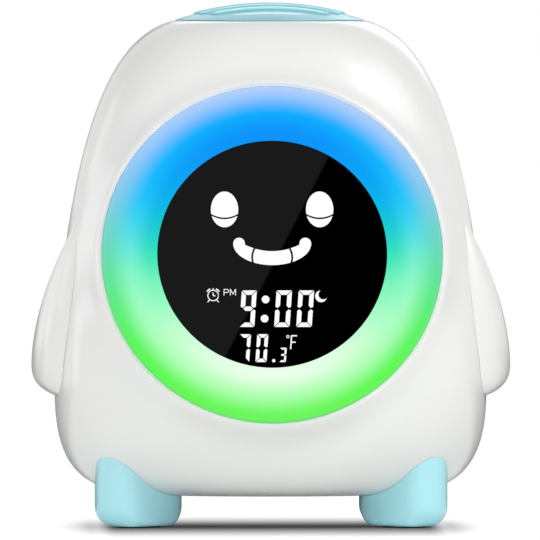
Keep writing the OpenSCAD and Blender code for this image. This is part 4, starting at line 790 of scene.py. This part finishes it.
# Straight strokes: rectangles along the way from one point to another.
def strokes(thick, lines, x=0.0, y=0.0):
    for line in lines:
        start, end = np.array(line).reshape(2, 2) + [x, y]
        way = (end - start) / np.linalg.norm(end - start)
        side = np.array([-way[1], way[0]]) * thick / 2
        lit([start - side, end - side, end + side, start + side])


for side in (-1, 1):
    turn = turns(72)
    egg = 1 - glyph["egg"] * np.sin(turn)   # a little narrower above
    eye = lit(np.stack([side * glyph["eyeX"] + glyph["eyeW"] * egg * np.cos(turn),
                        glyph["eyeY"] + glyph["eyeH"] * np.sin(turn)], -1))
    x = np.linspace(-glyph["eyeW"] - 0.5, glyph["eyeW"] + 0.5, 24)
    lid = glyph["eyeY"] - glyph["lidDrop"] - glyph["lidSag"] * (1 - (x / glyph["eyeW"]) ** 2)
    line = np.concatenate([np.stack([x, lid], -1), np.stack([x, lid + glyph["lidLine"]], -1)[::-1]])
    carve(eye, [through("lid", line + [side * glyph["eyeX"], 0])])

# Smile: below, the lower half of an ellipse; above, a parabola; between them, round ends
# whose outer sides stand upright.
endX, endY = glyph["smileW"] - glyph["smileEndR"], glyph["smileLow"] + glyph["smileDrop"]
halfTurn = np.radians(np.linspace(180, 360, 60))
under = np.stack([glyph["smileW"] * np.cos(halfTurn), endY + glyph["smileDrop"] * np.sin(halfTurn)], -1)
endTurn = np.radians(np.linspace(0, 192, 26))[1:]
smileEnd = polar(glyph["smileEndR"], endTurn, endX, endY)
x = (endX - glyph["smileEndR"]) * np.linspace(1, -1, 40)
over = np.stack([x, glyph["smileLow"] + glyph["smileT"] + x ** 2 / (2 * glyph["smileInnerR"])], -1)
smile = lit(np.concatenate([under, smileEnd, over, (smileEnd * [-1, 1])[::-1]]))
splits = []
for side in (-1, 1):
    bow = band(glyph["splitR"], glyph["splitT"], -38, 38, 0, 0, 16)[::side] * [side, 1]
    splits.append(through("split", bow + [side * glyph["splitX"], glyph["smileLow"] + glyph["splitY"]]))
carve(smile, splits)

# Bars of a digit: a top, b and c right, d bottom, e and f left, g middle; ends are mitred and
# a small gap parts the bars. The whole digit leans by the slant.
digitBars = {"0": "abcdef", "9": "abcdfg", "7": "abc", "3": "abcdg"}


def digit(sign, x, y, width, height, thick, gap=0.16):
    half, inset = height / 2, thick / 2
    notch, point = gap + 0.3 * thick, gap + 0.08
    left, right, inner, top = thick + gap, width - thick - gap, width - thick, height - thick - gap
    over, under = half + inset + point, half - inset - point
    shapes = {
        "a": [[gap, height], [left, height - thick], [right, height - thick], [width - gap, height]],
        "b": [[width, height - gap], [inner, top], [inner, over], [width - inset, half + point],
              [width, half + notch]],
        "c": [[width, gap], [width, half - notch], [width - inset, half - point], [inner, under],
              [inner, left]],
        "d": [[gap, 0], [width - gap, 0], [right, thick], [left, thick]],
        "e": [[0, gap], [thick, left], [thick, under], [inset, half - point], [0, half - notch]],
        "f": [[0, height - gap], [0, half + notch], [inset, half + point], [thick, over], [thick, top]],
        "g": [[inset + gap, half], [left, half - inset], [right, half - inset], [width - inset - gap, half],
              [right, half + inset], [left, half + inset]]}
    for bar in digitBars[sign]:
        across, along = np.array(shapes[bar], float).T
        area = np.sum(across * np.roll(along, -1) - np.roll(across, -1) * along)
        outline = np.stack([x + across + glyph["slant"] * along, y + along], -1)
        lit(outline if area > 0 else outline[::-1])


digit("9", -9.4, -20.9, 4.25, 10.5, 1.26)
digit("0", 0.5, -20.9, 4.4, 10.5, 1.26)
digit("0", 6.8, -20.9, 4.4, 10.5, 1.26)
digit("7", -9.84, -31.0, 3.2, 8.0, 1.0)
digit("0", -4.85, -31.0, 3.15, 8.0, 1.0)
digit("3", 1.9, -31.0, 1.9, 4.1, 0.55, 0.08)
for x, y, radius in ((-1.9, -13.0, 1.1), (-2.2, -18.5, 1.1), (0.35, -30.6, 0.46)):
    lit(circle(radius, 32, x, y))
lit(band(0.34, 0.22, 0, 350, 4.4, -23.7, 28))   # degree sign and its letter
strokes(0.36, [(5.2, -27.3, 5.45, -23.4), (5.35, -23.45, 7.0, -23.45), (5.25, -25.3, 6.6, -25.3)])
# letters of the afternoon sign
strokes(0.2, [(-13.75, -11.85, -13.75, -10.0), (-11.95, -11.85, -11.95, -10.0),
              (-11.95, -10.0, -11.2, -11.5), (-11.2, -11.5, -10.45, -10.0),
              (-10.45, -10.0, -10.45, -11.85), (-13.75, -10.1, -12.9, -10.1),
              (-13.75, -11.0, -12.9, -11.0)])
lit(band(0.45, 0.2, -90, 90, -12.9, -10.55, 16))
# alarm sign: a small bell clock
alarmX, alarmY = -16.85, -11.85
lit(band(1.5, 0.26, 0, 352, alarmX, alarmY, 48))
strokes(0.26, [(0, 0.85, 0, -0.1), (0, -0.1, 0.65, -0.1), (-1.0, -1.2, -1.55, -1.95),
               (1.0, -1.2, 1.55, -1.95), (0, 1.6, 0, 2.1)], alarmX, alarmY)
for start, end in ((32, 66), (114, 148)):
    lit(band(2.05, 0.36, start, end, alarmX, alarmY, 12))
# crescent moon: an outer arc and an inner arc about a shifted middle
moonX, moonY = 13.9, -12.1
outerTurn, innerTurn = np.radians(np.linspace(110, 340, 30)), np.radians(np.linspace(322, 128, 24))
lit(np.concatenate([polar(1.68, outerTurn, moonX, moonY),
                    polar(1.42, innerTurn, moonX + 0.65, moonY + 0.52)]))

points, faces, base = [], [], 0
for piece in litPieces:   # all lit signs become one piece
    mesh = piece.data
    spots = np.empty(len(mesh.vertices) * 3, np.float32)
    mesh.vertices.foreach_get("co", spots)
    points.append(spots.reshape(-1, 3) / mm)
    faces += [[base + i for i in polygon.vertices] for polygon in mesh.polygons]
    base += len(mesh.vertices)
    bpy.data.objects.remove(piece)
signs = makePiece("litSigns", np.concatenate(points), faces)
glow = Paint("lit white")
glowTone = glow.blend(glow.noise(400.0), (0.97, 0.98, 1, 1), (1, 1, 1, 1))
glow.surface({"Base Color": (0.02, 0.02, 0.02, 1), "Roughness": 0.4, "Emission Color": glowTone,
              "Emission Strength": 1.0, "Specular IOR Level": 0.0})
dress(signs, glow, "clock")
print("display:", len(signs.data.polygons), "faces")


view = dict(distance=6000.0, rise=1.0, turn=-0.8, aim=(-0.36, -20.0, 73.6), width=154.3, sensor=36.0)
camera = addObject("camera", bpy.data.cameras.new("camera"))
scene.camera = camera
riseAngle, turnAngle = math.radians(view["rise"]), math.radians(view["turn"])
outwards = np.array([math.cos(riseAngle) * math.sin(turnAngle), -math.cos(riseAngle) * math.cos(turnAngle),
                     math.sin(riseAngle)])
camera.location = Vector(view["distance"] * outwards + view["aim"]) * mm
camera.rotation_euler = (math.pi / 2 - riseAngle, 0, turnAngle)
camera.data.sensor_width = view["sensor"]
camera.data.lens = view["sensor"] * view["distance"] / view["width"]
camera.data.clip_end = 100


# Soft area lamps: place and aim in metres, width and height, power in watts.
studio = {
    "right softbox": dict(place=(0.8, -0.6, 1.0), aim=0.1, size=(0.4, 0.6), power=6.1),
    "left softbox": dict(place=(-1.0, -0.6, 0.6), aim=0.1, size=(0.4, 0.6), power=1.7),
    "upper right softbox": dict(place=(1.1, -0.1, 1.2), aim=0.1, size=(0.5, 0.5), power=1.6),
    "left strip": dict(place=(-1.2, 0.1, 0.25), aim=0.07, size=(0.4, 0.8), power=2.1),
    "left rear strip": dict(place=(-1.0, 0.7, 0.3), aim=0.07, size=(0.4, 0.8), power=1.2),
    "rear softbox": dict(place=(0.25, 1.4, 0.7), aim=0.07, size=(0.8, 0.6), power=2.2),
    "low strip": dict(place=(0.0, -0.9, 0.06), aim=0.03, size=(0.3, 0.12), power=2.6, mirrored=False)}


def lamp(name, place, aim, size, power, mirrored=True):
    light = bpy.data.lights.new(name, "AREA")
    light.shape, light.size, light.size_y, light.energy = "RECTANGLE", *size, power
    holder = addObject(name, light)
    holder.location = place
    holder.rotation_euler = (Vector((0, 0, aim)) - Vector(place)).to_track_quat("-Z", "Y").to_euler()
    holder.visible_glossy = mirrored


for name, settings in studio.items():
    lamp(name, **settings)


# Two flags of a ray: 1 where the camera or clear plastic looks, and 1 where a mirror looks.
def raysOf(paint):
    path = paint.node("ShaderNodeLightPath")
    kinds = ("Is Camera Ray", "Is Glossy Ray", "Is Transmission Ray")
    camera, mirror, clear = [Wire(paint, path.outputs[kind]) for kind in kinds]
    return paint.math("MAXIMUM", camera, clear), mirror


def glowing(paint, strength, kind="ShaderNodeEmission"):
    return paint.wire(kind, None, {"Color": (1, 1, 1, 1), "Strength": strength})


scene.world = bpy.data.worlds.new("studio")
sky = Paint("studio", scene.world)
seen, mirrored = raysOf(sky)
light = glowing(sky, 0.3 + (seen + mirrored) * 0.7, "ShaderNodeBackground")
sky.node("ShaderNodeOutputWorld", None, {"Surface": light})

# The clock's painted shadow on the floor: lengths in metres from its middle line, then shades.
shadow = dict(sideIn=0.043, sideOut=0.05, ease=0.06, past=0.052, steep=5.0, middleY=-0.014, fade=0.118,
              dark=0.035, pale=0.97, mirrorIn=0.02, mirrorOut=0.06)
floor = makePiece("floor", [[-9000, -9000, 0], [9000, -9000, 0], [9000, 20000, 0], [-9000, 20000, 0]],
                  [[0, 1, 2, 3]])
ground = Paint("pale floor")
across, along = ground.axes(ground.place())[:2]
aside = ground.math("ABSOLUTE", across, 0.0)
pastX = aside.smooth(shadow["sideIn"], shadow["sideOut"], 0.0, shadow["ease"])
pastX = pastX + ground.math("MAXIMUM", aside - shadow["past"], 0.0) * shadow["steep"]
pastY = ground.math("ABSOLUTE", along - shadow["middleY"], 0.0)
away = (pastX * pastX + pastY * pastY) ** 0.5   # distance from the clock's shadow line
seen, mirrored = raysOf(ground)
# mirrors find a pale floor before the clock only; nearer to it and behind it they see the painted shadow
direct = seen + mirrored * along.smooth(shadow["mirrorIn"], shadow["mirrorOut"], 1.0, 0.0)
# dark floor colour for the camera and mirrors, so that the painted shadow of the glow shows
shade = ground.blend(seen + mirrored, (0.92, 0.92, 0.92, 1), (0.12, 0.12, 0.12, 1))
matt = ground.wire("ShaderNodeBsdfDiffuse", None, {"Color": shade})
# glow of the floor, dim near the clock and pale away from it: a painted shadow
paintedShadowGlow = glowing(ground, direct * away.smooth(0.0, shadow["fade"], shadow["dark"], shadow["pale"]))
ground.finish(ground.wire("ShaderNodeAddShader", None, {0: matt, 1: paintedShadowGlow}))
floor.data.materials.append(ground.material)


def mirrorOnly(card, paint):
    card.data.materials.append(paint.material)
    card.visible_camera = card.visible_diffuse = card.visible_shadow = card.visible_transmission = False


# Card that only mirrors see, where the window looks: pale on one side of a slanting edge.
def reflectionCard(away=1500.0, half=90.0, slant=0.516, shift=1.36, soft=0.0008, pale=0.26):
    mirrored = math.radians(2 * face["tilt"] - view["rise"])
    spread = (view["distance"] + away) / view["distance"]
    middle = faceMiddle + away * np.array([-math.sin(turnAngle), -math.cos(mirrored), math.sin(mirrored)])
    up = np.array([0.0, math.sin(mirrored), math.cos(mirrored)])
    x, z = half * np.array([[-1, 1, 1, -1], [-1, -1, 1, 1]])[..., None]
    card = makePiece("reflectionCard", middle + x * sideways + z * up, [[0, 1, 2, 3]])
    paint = Paint("reflection card")
    across, depth, height = paint.axes(paint.place(tuple(middle * mm)))
    edge = across - height * (slant / math.cos(mirrored)) - shift * spread * mm
    paint.finish(glowing(paint, edge.smooth(-soft, soft, pale, 0.0)))
    mirrorOnly(card, paint)


reflectionCard()


# Dark flag behind the clock, seen by its gloss alone, which draws its outline on the white.
def rearFlag(y=800, low=105, high=300, right=400, left=-480, half=170):
    card = makePiece("rearFlag", [[left, y, 0], [right, y, 0], [right, y, low], [half, y, low],
                                  [half, y, high], [-half, y, high], [-half, y, low], [left, y, low]],
                     [list(range(8))])
    paint = Paint("dark cloth")
    tone = paint.blend(paint.noise(200.0), (0.02, 0.02, 0.02, 1), (0.04, 0.04, 0.04, 1))
    paint.surface({"Base Color": tone, "Roughness": 1.0, "Specular IOR Level": 0.0})
    mirrorOnly(card, paint)


rearFlag()
scene.view_settings.view_transform = "Standard"
print("studio done")
